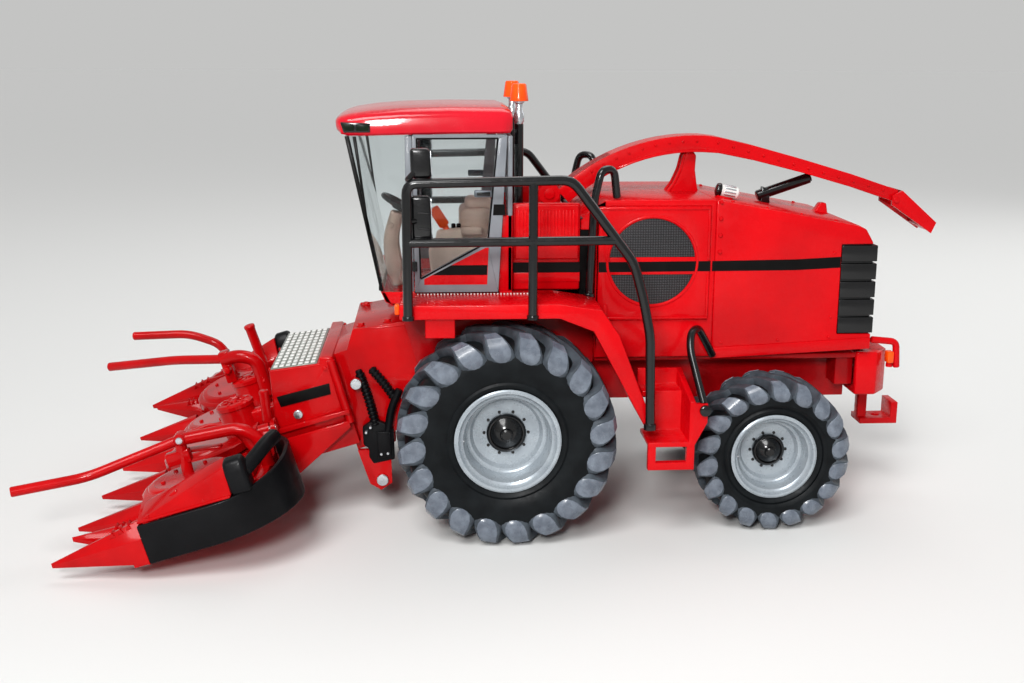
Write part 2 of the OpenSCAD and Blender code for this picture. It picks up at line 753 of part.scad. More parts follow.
// Black hose plates and ribbed hoses on both sides of the feeder
module feeder_hoses() {
    y = feeder_half_w;
    color(black) both_sides() {
        profile([[31, 19.2], [38, 19.2], [38.6, 27.4], [32, 28.4]], y, y + 2.2);
        bent_tube([[34.8, y + 1.3, 27], [36.6, y + 1.3, 36], [38, y + 1.3, 42.6]], 2.1);
        bent_tube([[32.4, y + 1.3, 27], [33, y + 1.3, 35], [35.2, y + 1.3, 42.8]], 2.1);
    }
}

// Dividing point: a wedge from a base to a tip
module divider(x, y, w, h, tip) {
    polyhedron(
        points = [[x, y - w / 2, 0], [x, y + w / 2, 0], [x, y + w / 2, h * 0.7], [x, y, h],
            [x, y - w / 2, h * 0.7], tip],
        faces = [[0, 1, 2, 3, 4], [1, 0, 5], [2, 1, 5], [3, 2, 5], [4, 3, 5], [0, 4, 5]]
    );
}

// Pin bores for the rotor at y, in floor and cover
module rotor_bore(y) {
    translate([rotor_x, y, -1]) cylinder(h = 12.4, r = 1.2 + pin_gap);
}

module rotor_cover(y) {
    translate([rotor_x, y, cover_z[0]]) {
        cylinder(h = 2.4, r = cover_r);
        translate([0, 0, 2.4]) cylinder(h = cover_z[1] - cover_z[0] - 2.4, r1 = cover_r, r2 = cover_r - 2);
    }
}

// Centre of the header: box, gearboxes, floor, middle points and the far push bar
module header_centre() {
    w = rotor_pitch - 0.4;
    inner_y = rotor_pitch / 2;
    box = [[-42, 8], [-42, 28.2], [-40.2, 28.7], [-39.9, 27.2], [-26.7, 29.2], [-22.6, 10], [-24, 8]];
    header_frame() color(red) {
        difference() {
            union() {
                profile(box, -22.5, 22.5);
                block([-24, -w, 0], [11.6, w, pan_t]);
                block([-24, -24, pan_t], [-22.6, 24, 10]);
                both_sides() {
                    profile([[-22.6, 0], [-22.6, 10.3], [-43, 10.2], [-43, 8.4], [-26.3, 0]], 22.5, 24);
                    rotor_cover(inner_y);
                    translate([-13, inner_y, cover_z[0] + 1]) cylinder(h = 21 - cover_z[0] - 1, r = 4);
                    block([-25, inner_y - 2.6, 14], [-13, inner_y + 2.6, 18]);
                    translate([-21.2, 23.3, pan_t]) cylinder(h = 20.6, r = 1.6);
                    for (x = [-24.6, -19.8]) {
                        block([x, 22.5, 13.2], [x + 1.4, wing_pin.x, 16.8]);
                        translate([x, wing_pin.x, wing_pin.y]) rotate([0, 90, 0]) cylinder(h = 1.4, r = 1.8);
                    }
                    translate([-24.6, wing_pin.x, wing_pin.y]) rotate([0, 90, 0]) cylinder(h = 6.2, r = 0.9);
                    divider(11.6, 12, 9, 8, [31.6, 12, 5.9]);
                }
            }
            profile([[-40.6, 7], [-40.6, 25.8], [-28, 27.6], [-24.6, 10.6], [-25.4, 7]], -21, 21);
            both_sides() rotor_bore(inner_y);
        }
        bent_tube([[-15, -15, 21], [-7.3, -15, 29], [7.1, -20, 33.2], [32.4, -34, 32.2]], bar_d);
    }
}

// Wing: floor, hinge arm, cover, side points, deck, and its push bar
module wing(bar, post) {
    y = 1.5 * rotor_pitch;
    edge = rotor_pitch + 0.4;
    side_y = header_half_w - shield_t;
    deck_y = side_y - 9.2;
    header_frame() color(red) difference() {
        union() {
            intersection() {
                union() {
                    translate([shield_c.x, shield_c.y, 0]) cylinder(h = pan_t, r = shield_r - shield_t);
                    block([shield_c.x, edge, 0], [11.6, shield_c.y + shield_r - shield_t, pan_t]);
                }
                block([-40, edge, -1], [20, 70, 5]);
            }
            block([-23, 30, pan_t], [-16.2, 50, cover_z[0]]);
            block([-20, 34, cover_z[0]], [-10, 48, 12]);
            rotor_cover(y);
            block([-19, header_half_w - 10.4, pan_t], [-16.2, header_half_w - 5, 11]);
            translate([-16, 0, 0]) rotate([90, 0, 90]) linear_extrude(23.4)
                polygon([[deck_y, 10.1], [side_y, 10.1], [side_y, 10.5], [deck_y, 13.4]]);
            rotate([90, 0, 90]) translate([0, 0, -20]) linear_extrude(4)
                polygon([[deck_y + 3, 10.1], [side_y - 0.8, 10.1], [side_y - 0.8, 15],
                    [side_y - 3.2, 19], [deck_y + 3, 19]]);
            divider(11.6, 36, 9, 8, [31.6, 36, 5.9]);
            divider(7.4, side_y - 2.2, 6.8, 10.6, [31.6, side_y - 1.2, 5.9]);
            block([7.4, side_y - 5.6, 0], [9, side_y + 0.8, pan_t]);
            difference() {
                union() {
                    translate([-23, wing_pin.x, wing_pin.y]) rotate([0, 90, 0]) cylinder(h = 3, r = 1.8);
                    translate([-23, 0, 0]) rotate([90, 0, 90]) linear_extrude(3)
                        polygon([[rotor_pitch + 0.2, 16.6], [rotor_pitch - 0.6, 13.6], [30, 6], [32, 6], [32, 9]]);
                }
                translate([-24, wing_pin.x, wing_pin.y]) rotate([0, 90, 0]) cylinder(h = 6, r = 0.9 + pin_gap);
            }
            bent_tube(bar, bar_d);
            rod(post[0], post[1], 3);
        }
        rotor_bore(y);
    }
}

module wing_l() {
    wing([[-21.6, 40, 9], [-21.6, 40, 17], [-18, 40, 20.2], [-2.9, 40, 21], [20.7, 44, 20.5], [37.7, 50, 23.8]],
        [[-2.4, 40.5, 12], [-2.9, 40, 21]]);
}

module mirrored_wing_frame() {
    header_frame() mirror([0, 1, 0]) raised(right_wing_raise) rotate([0, -header_tilt, 0]) translate(-header_at)
        children();
}

module wing_r() {
    mirrored_wing_frame() wing([[-2.4, 44, 13], [-2.4, 45, 25], [6.7, 47, 31], [24.4, 50, 34.5]],
        [[-14.2, 36, 9], [-14.2, 36, 32]]);
}

// Black shield: side panel that curls round behind the outer rotor
module shield() {
    header_frame() color(black) {
        translate([shield_c.x, shield_c.y, 0]) rotate([0, 0, 90]) rotate_extrude(angle = 132)
            translate([shield_r - shield_t, 0]) square([shield_t, shield_h]);
        block([shield_c.x, header_half_w - shield_t, 0], [7.4, header_half_w, shield_h]);
    }
}

module shield_l() { shield(); }
module shield_r() { mirrored_wing_frame() shield(); }

module rotor(y) {
    translate([rotor_x, y, 0]) color(red) {
        translate([0, 0, 2.2]) cylinder(h = 1.2, r = rotor_r);
        translate([0, 0, 3.4]) cylinder(h = 4.2, r = rotor_r - 2.4);
        translate([0, 0, 7.6]) cylinder(h = 1.2, r = rotor_r - 0.3);
        translate([0, 0, 0.2]) cylinder(h = 11, r = 1.2);
    }
}

module rotor_1() { header_frame() rotor(1.5 * rotor_pitch); }
module rotor_2() { header_frame() rotor(0.5 * rotor_pitch); }
module rotor_3() { header_frame() rotor(-0.5 * rotor_pitch); }
module rotor_4() { mirrored_wing_frame() header_frame() rotor(1.5 * rotor_pitch); }

chassis();
front_axle();
rear_axle();
knuckle_l();
knuckle_r();
tyre_fl();
tyre_fr();
tyre_rl();
tyre_rr();
rim_fl();
rim_fr();
rim_rl();
rim_rr();
body_shell();
platform_l();
platform_r();
steps();
railing_l();
railing_r();
louvre_box();
hood_front();
hood_rear();
side_panel_l();
side_panel_r();
rear_grille();
exhaust();
filler_cap();
spout_rest();
rear_bumper();
lamp_bars();
marker_lamps();
hitch();
grab_handles();
cab_body();
cab_glass();
cab_roof();
door_l();
door_r();
door_glass_l();
door_glass_r();
seat();
steering_column();
beacon_posts();
beacon_lenses();
turret();
spout();
spout_flap();
feeder();
feeder_hoses();
header_centre();
wing_l();
wing_r();
shield_l();
shield_r();
rotor_1();
rotor_2();
rotor_3();
rotor_4();
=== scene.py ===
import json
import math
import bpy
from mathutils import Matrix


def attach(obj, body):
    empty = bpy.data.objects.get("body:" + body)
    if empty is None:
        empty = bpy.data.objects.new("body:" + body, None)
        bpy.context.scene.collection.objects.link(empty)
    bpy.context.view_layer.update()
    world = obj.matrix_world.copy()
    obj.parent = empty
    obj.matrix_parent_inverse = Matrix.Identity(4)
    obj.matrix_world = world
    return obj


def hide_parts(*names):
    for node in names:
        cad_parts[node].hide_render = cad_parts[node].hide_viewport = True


bl_info = {
    "name": "Scale model forage harvester",
    "version": (1, 0, 0),
    "blender": (4, 5, 0),
    "location": "3D View > Sidebar > Harvester",
    "description": "Dresses the packed harvester model with its finishes and fine parts",
    "category": "Object",
}

import bmesh
import bpy
from mathutils import Matrix, Vector

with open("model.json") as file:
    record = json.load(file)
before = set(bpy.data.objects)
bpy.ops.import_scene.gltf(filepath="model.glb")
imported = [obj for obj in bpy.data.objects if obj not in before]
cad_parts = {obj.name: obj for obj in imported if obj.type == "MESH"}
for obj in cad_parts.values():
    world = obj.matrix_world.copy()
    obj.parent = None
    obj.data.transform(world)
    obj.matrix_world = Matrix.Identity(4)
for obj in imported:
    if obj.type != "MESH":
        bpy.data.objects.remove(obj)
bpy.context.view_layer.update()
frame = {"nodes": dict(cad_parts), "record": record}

MM = 0.001
SIDES = (1, -1)
HANDS = ((1, "l"), (-1, "r"))
SPOUT_PIN = (-13.6, 87.2)
TURN = math.tau

# Header frame, and the two wings in it; the right one stands raised by 9 degrees
HEADER = Matrix.Translation((80, 0, 7)) @ Matrix.Rotation(math.radians(16), 4, "Y")
FLIP = Matrix.Scale(-1, 4, (0, 1, 0))
RAISE = (
    Matrix.Translation((0, 27, 15))
    @ Matrix.Rotation(math.radians(9), 4, "X")
    @ Matrix.Translation((0, -27, -15))
)
WINGS = {"l": HEADER, "r": HEADER @ FLIP @ RAISE}
# Radius in mm of the front tyres, which the lugs are drawn for
FRONT_TYRE = 28.5
# Camera fitted to the photograph: place in metres, yaw, pitch and roll in degrees, focal length and
# picture width in pixels, and then the sensor's width in mm
CAMERA_AT, CAMERA_TURN, FOCAL, WIDTH = (0.01833, 0.34757, 0.12565), (3.63, 13.12, 0.21), 1250, 1024
SENSOR = 36
# Middle of the shields' curl, in the wing's x and y
CURL = (-8.7, 41.9)
# Local z of a shape made round an axis turned to point along y
ACROSS = Matrix.Rotation(math.radians(-90), 4, "X")


def tone(code):
    """Linear colour of an sRGB hex value."""
    raw = [int(code[i : i + 2], 16) / 255 for i in (1, 3, 5)]
    return tuple(c / 12.92 if c <= 0.04045 else ((c + 0.055) / 1.055) ** 2.4 for c in raw) + (1.0,)


def feed(tree, node, inputs):
    """Links or sets the inputs of a node and returns it."""
    for key, value in inputs.items():
        if isinstance(value, bpy.types.NodeSocket):
            tree.links.new(value, node.inputs[key])
        else:
            node.inputs[key].default_value = value
    return node


def put(tree, kind, inputs=None, **settings):
    """Adds one node, with its settings, values and links, and returns it."""
    node = tree.nodes.new(kind)
    for key, value in settings.items():
        setattr(node, key, value)
    return feed(tree, node, inputs or {})


# Finishes, named for what the real surfaces are: name, colour, its second shade, roughness, size
# of the slow colour change in mm, size and height of the fine bump in mm, drawn a little coarse
# to show, weight of the coat, and where it isn't the usual one, metal and specular level
FINISHES = [
    # Gloss enamel sprayed on a zinc casting: deep colour, wet highlights, slight orange peel
    ("enamel_red", "#d0050f", "#bf040d", 0.26, 14, 1.1, 0.006, 0.15),
    # The same enamel, darkened as painted shade for the chassis and intake
    ("enamel_red_painted_shade", "#b4060e", "#96050b", 0.32, 9, 1.0, 0.008, 0.15),
    # Roof in moulded ABS, a little bluer than the castings
    ("abs_roof_red", "#d40b24", "#c50a20", 0.22, 16, 1.4, 0.005, 0.6),
    # Header in moulded ABS, with soft flow marks; its bright red is darkened as painted shade for the darker
    # light the header stands in
    ("abs_red", "#bb050a", "#a50408", 0.2, 11, 1.2, 0.006, 0.2),
    # Flat top plates of the rotors, polished by handling
    ("abs_red_polished", "#b50f17", "#980d14", 0.12, 7, 1.6, 0.006, 0.7),
    # Black ABS of rails and handles
    ("abs_black", "#060607", "#0a0a0c", 0.2, 6, 0.9, 0.006, 0.3, 0.0, 0.3),
    # Black nylon of shields and hoses, duller
    ("nylon_black", "#08080a", "#0e0e10", 0.4, 8, 0.7, 0.016, 0.05, 0.0, 0.1),
    # Printed black ink of stripes and plain plates
    ("ink_black", "#070606", "#0c0a0a", 0.36, 5, 0.8, 0.004, 0.0, 0.0, 0.1),
    # Grey ink of the door frame
    ("ink_grey", "#84888d", "#777b81", 0.36, 7, 0.9, 0.006, 0.1),
    # Rubber of the tyres: near black sidewall with a dull sheen
    ("rubber_side", "#0d0f11", "#15181a", 0.4, 5, 0.5, 0.02, 0.0, 0.0, 0.1),
    # Lugs, the tyre's rubber lightened above the sidewall as painted sheen
    ("rubber_lug_painted_sheen", "#3a3f45", "#4c535a", 0.36, 3, 0.5, 0.03, 0.0),
    # End faces of the lugs, a pale blue grey that stands for painted sheen
    ("rubber_face_painted_sheen", "#555c67", "#6d7580", 0.26, 2.5, 0.5, 0.012, 0.15, 0.0, 0.4),
    # Rims in silver-painted plastic
    ("silver_paint", "#a5adb3", "#959da4", 0.28, 5, 0.5, 0.004, 0.2, 0.3),
    # Bright plated screws, pins and the filler cap
    ("plated_steel", "#c9ccd0", "#b6babf", 0.24, 2, 0.4, 0.012, 0.0, 0.9),
    # Treadplate printed silver on the header's box
    ("treadplate_silver", "#8d9088", "#7b7f78", 0.3, 3, 0.5, 0.01, 0.1, 0.4),
    # Raised white dashes on the treadplate
    ("tread_white", "#e6e7e4", "#d6d8d4", 0.4, 2, 0.4, 0.01, 0.0),
    # Cab trim and seat in warm beige plastic
    ("abs_beige", "#d8bfae", "#c4aa99", 0.45, 6, 0.6, 0.02, 0.0),
    # Orange lamps: coloured clear plastic, lit from behind by its white backing
    ("lens_orange", "#ff5a10", "#f24a08", 0.22, 3, 0.6, 0.006, 0.4),
    # Rubber-like grip of the lever
    ("abs_orange", "#f4521c", "#e24413", 0.35, 3, 0.6, 0.01, 0.1),
    # Grey casting of the steering knuckles
    ("cast_grey", "#6f757b", "#5f656b", 0.42, 4, 0.5, 0.03, 0.0, 0.5),
    # Dark smoked lens of the roof lamps
    ("lens_dark", "#10180f", "#1a2618", 0.3, 4, 0.9, 0.004, 0.0),
]


def blank(name):
    """A new material, its node tree and its shader."""
    material = bpy.data.materials.new(name)
    material.use_nodes = True
    return material, material.node_tree, material.node_tree.nodes["Principled BSDF"]


def surface(name, colour, shade, rough, spread, grain, bump, coat, metal=0.0, spec=0.08):
    """One opaque finish: slow colour change, fine scuffs in the gloss, and a fine bump."""
    material, tree, shader = blank(name)
    where = put(tree, "ShaderNodeTexCoord").outputs["Object"]
    slow = put(tree, "ShaderNodeTexNoise", {"Vector": where, "Scale": 1 / (spread * MM), "Detail": 3.0})
    ramp = put(tree, "ShaderNodeMapRange", {"Value": slow.outputs["Fac"], "From Min": 0.35, "From Max": 0.68})
    shades = {"Factor": ramp.outputs["Result"], "A": tone(colour), "B": tone(shade)}
    mix = put(tree, "ShaderNodeMix", shades, data_type="RGBA")
    scuff = put(
        tree, "ShaderNodeTexNoise",
        {"Vector": where, "Scale": 1 / (2.6 * MM), "Detail": 6.0, "Roughness": 0.7},
    )
    span = {"From Min": 0.4, "From Max": 0.72, "To Min": rough * 0.85, "To Max": rough * 1.5}
    gloss = put(tree, "ShaderNodeMapRange", {"Value": scuff.outputs["Fac"], **span})
    fine = put(tree, "ShaderNodeTexNoise", {"Vector": where, "Scale": 1 / (grain * MM), "Detail": 4.0})
    relief = put(
        tree, "ShaderNodeBump", {"Height": fine.outputs["Fac"], "Distance": bump * MM, "Strength": 1.0},
    )
    drawn = {
        "Base Color": mix.outputs["Result"], "Roughness": gloss.outputs["Result"],
        "Normal": relief.outputs["Normal"],
    }
    fixed = {"Metallic": metal, "Specular IOR Level": spec, "Coat Weight": coat, "Coat Roughness": 0.08}
    feed(tree, shader, {**drawn, **fixed})
    return material


def mesh_screen():
    """Pressed black screen: square holes at 0.9 mm, drawn twice the real pitch so that they show."""
    material, tree, shader = blank("screen_black")
    where = put(tree, "ShaderNodeTexCoord").outputs["Object"]
    turned = put(tree, "ShaderNodeMapping", {"Vector": where, "Rotation": (0, math.radians(45), 0)})
    axes = put(tree, "ShaderNodeSeparateXYZ", {"Vector": turned.outputs["Vector"]})
    waves = []
    for axis in ("X", "Z"):
        scaled = put(
            tree, "ShaderNodeMath", {0: axes.outputs[axis], 1: TURN / (0.95 * MM)}, operation="MULTIPLY",
        )
        waves.append(put(tree, "ShaderNodeMath", {0: scaled.outputs[0]}, operation="SINE").outputs[0])
    cell = put(tree, "ShaderNodeMath", {0: waves[0], 1: waves[1]}, operation="MULTIPLY")
    hole = put(
        tree, "ShaderNodeMapRange", {"Value": cell.outputs[0], "From Min": -0.25, "From Max": 0.35},
    ).outputs["Result"]
    mix = put(
        tree, "ShaderNodeMix", {"Factor": hole, "A": tone("#0b0b0c"), "B": tone("#3b3b3e")}, data_type="RGBA",
    )
    relief = put(tree, "ShaderNodeBump", {"Height": hole, "Distance": 0.25 * MM, "Strength": 0.9})
    drawn = {"Base Color": mix.outputs["Result"], "Normal": relief.outputs["Normal"]}
    feed(tree, shader, {**drawn, "Roughness": 0.38})
    return material


def glazing():
    """Moulded clear acrylic: a faint cool tint, slight waves and a trace of dust in the gloss."""
    material, tree, shader = blank("acrylic_clear")
    where = put(tree, "ShaderNodeTexCoord").outputs["Object"]
    waves = put(tree, "ShaderNodeTexNoise", {"Vector": where, "Scale": 1 / (9 * MM), "Detail": 1.0})
    relief = put(
        tree, "ShaderNodeBump", {"Height": waves.outputs["Fac"], "Distance": 0.03 * MM, "Strength": 1.0},
    )
    dust = put(tree, "ShaderNodeTexNoise", {"Vector": where, "Scale": 1 / (1.5 * MM), "Detail": 5.0})
    span = {"From Min": 0.5, "From Max": 0.8, "To Min": 0.02, "To Max": 0.09}
    gloss = put(tree, "ShaderNodeMapRange", {"Value": dust.outputs["Fac"], **span})
    drawn = {"Roughness": gloss.outputs["Result"], "Normal": relief.outputs["Normal"]}
    fixed = {"Base Color": tone("#f3f8f9"), "Transmission Weight": 1.0, "IOR": 1.35}
    feed(tree, shader, {**drawn, **fixed})
    return material


FINISH = {row[0]: surface(*row) for row in FINISHES}
FINISH["screen_black"] = mesh_screen()
FINISH["acrylic_clear"] = glazing()


def group(name, inputs):
    """An empty geometry tree with named inputs and a geometry output."""
    tree = bpy.data.node_groups.new(name, "GeometryNodeTree")
    for label, kind in [("Shape", "Geometry"), *inputs, ("Finish", "Material")]:
        tree.interface.new_socket(label, in_out="INPUT", socket_type="NodeSocket" + kind)
    tree.interface.new_socket("Geometry", in_out="OUTPUT", socket_type="NodeSocketGeometry")
    return tree, put(tree, "NodeGroupInput").outputs


def close_group(tree, given, points, place):
    """Puts the shape on the points, makes it real and gives it its finish."""
    copies = put(
        tree, "GeometryNodeInstanceOnPoints", {"Points": points, "Instance": given["Shape"], **place},
    )
    real = put(tree, "GeometryNodeRealizeInstances", {"Geometry": copies.outputs["Instances"]})
    painted = put(
        tree, "GeometryNodeSetMaterial", {"Geometry": real.outputs["Geometry"], "Material": given["Finish"]},
    )
    put(tree, "NodeGroupOutput", {"Geometry": painted.outputs["Geometry"]})
    return tree


def ring_tree():
    """Repeats a shape round the z axis."""
    tree, given = group("Repeat round an axis", [("Count", "Int"), ("Start", "Float")])
    points = put(tree, "GeometryNodePoints", {"Count": given["Count"]})
    index = put(tree, "GeometryNodeInputIndex").outputs["Index"]
    share = put(tree, "ShaderNodeMath", {0: index, 1: given["Count"]}, operation="DIVIDE")
    angle = put(
        tree, "ShaderNodeMath", {0: share.outputs[0], 1: TURN, 2: given["Start"]}, operation="MULTIPLY_ADD",
    )
    turn = put(tree, "ShaderNodeCombineXYZ", {"Z": angle.outputs[0]})
    spun = put(tree, "FunctionNodeEulerToRotation", {"Euler": turn.outputs[0]})
    return close_group(tree, given, points.outputs[0], {"Rotation": spun.outputs[0]})


def row_tree():
    """Repeats a shape in rows and columns."""
    inputs = [("Count", "Int"), ("Step", "Vector"), ("Columns", "Int"), ("Column step", "Vector")]
    tree, given = group("Repeat in rows", inputs)
    total = put(tree, "ShaderNodeMath", {0: given["Count"], 1: given["Columns"]}, operation="MULTIPLY")
    index = put(tree, "GeometryNodeInputIndex").outputs["Index"]
    along = put(tree, "ShaderNodeMath", {0: index, 1: given["Count"]}, operation="FLOORED_MODULO")
    over = put(tree, "ShaderNodeMath", {0: index, 1: given["Count"]}, operation="DIVIDE")
    column = put(tree, "ShaderNodeMath", {0: over.outputs[0]}, operation="FLOOR")
    first = put(
        tree, "ShaderNodeVectorMath", {0: given["Step"], "Scale": along.outputs[0]}, operation="SCALE",
    )
    second = put(
        tree, "ShaderNodeVectorMath", {0: given["Column step"], "Scale": column.outputs[0]},
        operation="SCALE",
    )
    place = put(tree, "ShaderNodeVectorMath", {0: first.outputs[0], 1: second.outputs[0]}, operation="ADD")
    points = put(tree, "GeometryNodePoints", {"Count": total.outputs[0], "Position": place.outputs[0]})
    return close_group(tree, given, points.outputs[0], {})


RING = ring_tree()
ROWS = row_tree()


def filleted(points, turn, steps=5):
    """The path through the points with its corners rounded."""
    points = [Vector(p) for p in points]
    path = [points[0]]
    for before, corner, after in zip(points, points[1:], points[2:]):
        reach = min(turn, (corner - before).length * 0.48, (after - corner).length * 0.48)
        start = corner + (before - corner).normalized() * reach
        end = corner + (after - corner).normalized() * reach
        for i in range(steps + 1):
            t = i / steps
            path.append(start * (1 - t) ** 2 + corner * 2 * t * (1 - t) + end * t**2)
    return path + [points[-1]]


def soften(bm, edges, size, levels):
    """Rounds edges of a mesh under work."""
    bmesh.ops.bevel(
        bm, geom=edges, offset=size, segments=levels, profile=0.5, affect="EDGES", clamp_overlap=True,
    )


class Form:
    """Closed shapes in millimetres, placed from one base, that together become one piece."""

    def __init__(self, *finishes, base=Matrix()):
        self.bm = bmesh.new()
        self.finishes = finishes
        self.base = base

    def take(self, mesh, at, finish):
        """Adds a mesh at its place from the base and removes it."""
        where = self.base @ at
        mesh.transform(where)
        if where.determinant() < 0:
            mesh.flip_normals()
        mesh.polygons.foreach_set("material_index", [self.finishes.index(finish)] * len(mesh.polygons))
        self.bm.from_mesh(mesh)
        bpy.data.meshes.remove(mesh)

    def solid(self, verts, faces, finish=None, soft=0.2, at=Matrix(), levels=2, sharp=28):
        """A closed shape with its hard edges rounded."""
        bm = bmesh.new()
        made = [bm.verts.new(v) for v in verts]
        for face in faces:
            bm.faces.new([made[i] for i in face])
        bmesh.ops.recalc_face_normals(bm, faces=bm.faces)
        if soft:
            soften(bm, [e for e in bm.edges if e.calc_face_angle(0) > math.radians(sharp)], soft, levels)
        mesh = bpy.data.meshes.new("shape")
        bm.to_mesh(mesh)
        bm.free()
        self.take(mesh, at, finish or self.finishes[0])

    def loft(self, rings, **how):
        """A closed skin through rings of points, with both ends shut."""
        n, verts = len(rings[0]), [v for ring in rings for v in ring]
        faces = [list(range(n)), list(range(len(verts) - 1, len(verts) - n - 1, -1))]
        for a in range(0, len(verts) - n, n):
            faces += [[a + k, a + (k + 1) % n, a + n + (k + 1) % n, a + n + k] for k in range(n)]
        self.solid(verts, faces, **how)

    def prism(self, points, low, high, along="y", **how):
        """An outline carried along an axis."""
        order = {"x": (2, 0, 1), "y": (0, 2, 1), "z": (0, 1, 2)}[along]
        self.loft([[[(u, v, w)[i] for i in order] for u, v in points] for w in sorted((low, high))], **how)

    def box(self, low, high, **how):
        """A block between two corners."""
        (x0, y0, z0), (x1, y1, z1) = low, high
        self.prism([(x0, z0), (x1, z0), (x1, z1), (x0, z1)], y0, y1, **how)

    def slab(self, side, points, y, depth, finish, soft=0.0):
        """A thin flat plate standing proud of a side wall at y."""
        self.prism(points, side * y, side * (y + depth), finish=finish, soft=soft)

    def stud(self, side, foot, r, h, **how):
        """A knob that stands out of a side wall, its foot given on the left."""
        self.knob((foot[0], side * foot[1], foot[2]), r, h, axis=(0, side, 0), **how)

    def tube(self, points, d, turn=2.5, sides=14, taper=1.0, **how):
        """A round tube along a path with rounded bends and ends."""
        path = filleted(points, turn)
        last = len(path) - 1
        angles = [TURN * k / sides for k in range(sides)]
        across = (path[1] - path[0]).orthogonal()
        rings = []
        for i, point in enumerate(path):
            ahead = (path[min(i + 1, last)] - path[max(i - 1, 0)]).normalized()
            across = (across - ahead * across.dot(ahead)).normalized()
            side = ahead.cross(across)
            size = d / 2 * (1 + (taper - 1) * i / last)
            # Rings here: how far ahead, and share of the full radius
            stops = [(0, 1)]
            if i == 0:
                stops = [(0, 0.8), (0.22 * size, 1)]
            elif i == last:
                stops = [(-0.22 * size, 1), (0, 0.8)]
            for shift, share in stops:
                centre = point + ahead * shift
                rings.append([
                    centre + (across * math.cos(a) + side * math.sin(a)) * size * share for a in angles
                ])
        self.loft(rings, soft=0, **how)

    def lathe(self, profile, steps=48, **how):
        """A profile of (radius, height) turned round the z axis."""
        verts, rows = [], []
        for r, z in profile:
            turns = [TURN * k / steps for k in range(steps)] if r else [0]
            rows.append([len(verts) + k for k in range(len(turns))])
            verts += [(r * math.cos(a), r * math.sin(a), z) for a in turns]
        closed = profile[0][0] and profile[-1][0]
        faces = []
        for a, b in zip(rows, rows[1:] + ([rows[0]] if closed else [])):
            for k in range(steps):
                j = (k + 1) % steps
                face = list(dict.fromkeys([a[k % len(a)], a[j % len(a)], b[j % len(b)], b[k % len(b)]]))
                if len(face) > 2:
                    faces.append(face)
        self.solid(verts, faces, soft=0, **how)

    def knob(self, foot, r, h, axis=(0, 0, 1), dome=0.3, steps=16, **how):
        """A round head or pin that stands on its foot along an axis."""
        turn = Vector((0, 0, 1)).rotation_difference(Vector(axis)).to_matrix().to_4x4()
        profile = [
            (0, 0), (r, 0), (r, h * (1 - dome)), (r * 0.93, h * (1 - dome * 0.45)), (r * 0.7, h * 0.97),
            (0, h),
        ]
        self.lathe(profile, steps, at=Matrix.Translation(foot) @ turn, **how)

    def repeat(self, tree, shape, at, inputs):
        """Adds copies of a small form, placed by a geometry tree."""
        mesh = bpy.data.meshes.new("one")
        shape.bm.to_mesh(mesh)
        shape.bm.free()
        holder = bpy.data.objects.new("one", mesh)
        bpy.context.scene.collection.objects.link(holder)
        modifier = holder.modifiers.new("Repeat", "NODES")
        modifier.node_group = tree
        sockets = {item.name: item.identifier for item in tree.interface.items_tree if item.in_out == "INPUT"}
        for name, value in {**inputs, "Finish": FINISH[shape.finishes[0]]}.items():
            modifier[sockets[name]] = value
        bpy.context.view_layer.update()
        graph = bpy.context.evaluated_depsgraph_get()
        real = bpy.data.meshes.new_from_object(holder.evaluated_get(graph), depsgraph=graph)
        bpy.data.objects.remove(holder)
        self.take(real, at, shape.finishes[0])

    def ring(self, shape, count, start=0.0, at=Matrix()):
        """Copies of a small form round the z axis."""
        self.repeat(RING, shape, at, {"Count": count, "Start": start})

    def row(self, shape, count, step, columns=1, column_step=(0, 0, 0), at=Matrix()):
        """Copies of a small form in one or more rows."""
        places = {"Count": count, "Step": step, "Columns": columns, "Column step": column_step}
        self.repeat(ROWS, shape, at, places)

    def piece(self, name, body, slot, *nodes, smooth=32):
        """Makes the object, in metres, and hands it to its body."""
        bmesh.ops.transform(self.bm, matrix=Matrix.Scale(MM, 4), verts=self.bm.verts)
        mesh = bpy.data.meshes.new(name)
        for finish in self.finishes:
            mesh.materials.append(FINISH[finish])
        self.bm.to_mesh(mesh)
        self.bm.free()
        settle(mesh, name, body, slot, *nodes, smooth=smooth)


def settle(mesh, name, body, slot, *nodes, smooth=32):
    """Links a mesh as a piece with soft shading, riding on its body."""
    mesh.polygons.foreach_set("use_smooth", [True] * len(mesh.polygons))
    mesh.set_sharp_from_angle(angle=math.radians(smooth))
    obj = bpy.data.objects.new(name, mesh)
    bpy.context.scene.collection.objects.link(obj)
    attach(obj, body)
    if nodes:
        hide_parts(*nodes)


def body_of_node(node):
    """The body that a CAD node belongs to."""
    for body, members in frame["record"]["behaviour"]["bodies"].items():
        if node in members:
            return body
    raise ValueError(node)


def dress(node, finish, slot, soft):
    """A copy of a CAD node with its flats joined up and its hard edges rounded."""
    bm = bmesh.new()
    bm.from_mesh(frame["nodes"][node].data)
    bmesh.ops.remove_doubles(bm, verts=bm.verts, dist=0.00001)
    if soft:
        bmesh.ops.dissolve_limit(bm, angle_limit=math.radians(0.6), verts=bm.verts, edges=bm.edges)
        edges = [e for e in bm.edges if e.is_manifold and e.calc_face_angle(0) > math.radians(32)]
        soften(bm, edges, soft * MM, 2)
    mesh = bpy.data.meshes.new(node + "_finished")
    mesh.materials.append(FINISH[finish])
    bm.to_mesh(mesh)
    bm.free()
    settle(mesh, node + "_finished", body_of_node(node), slot, node)


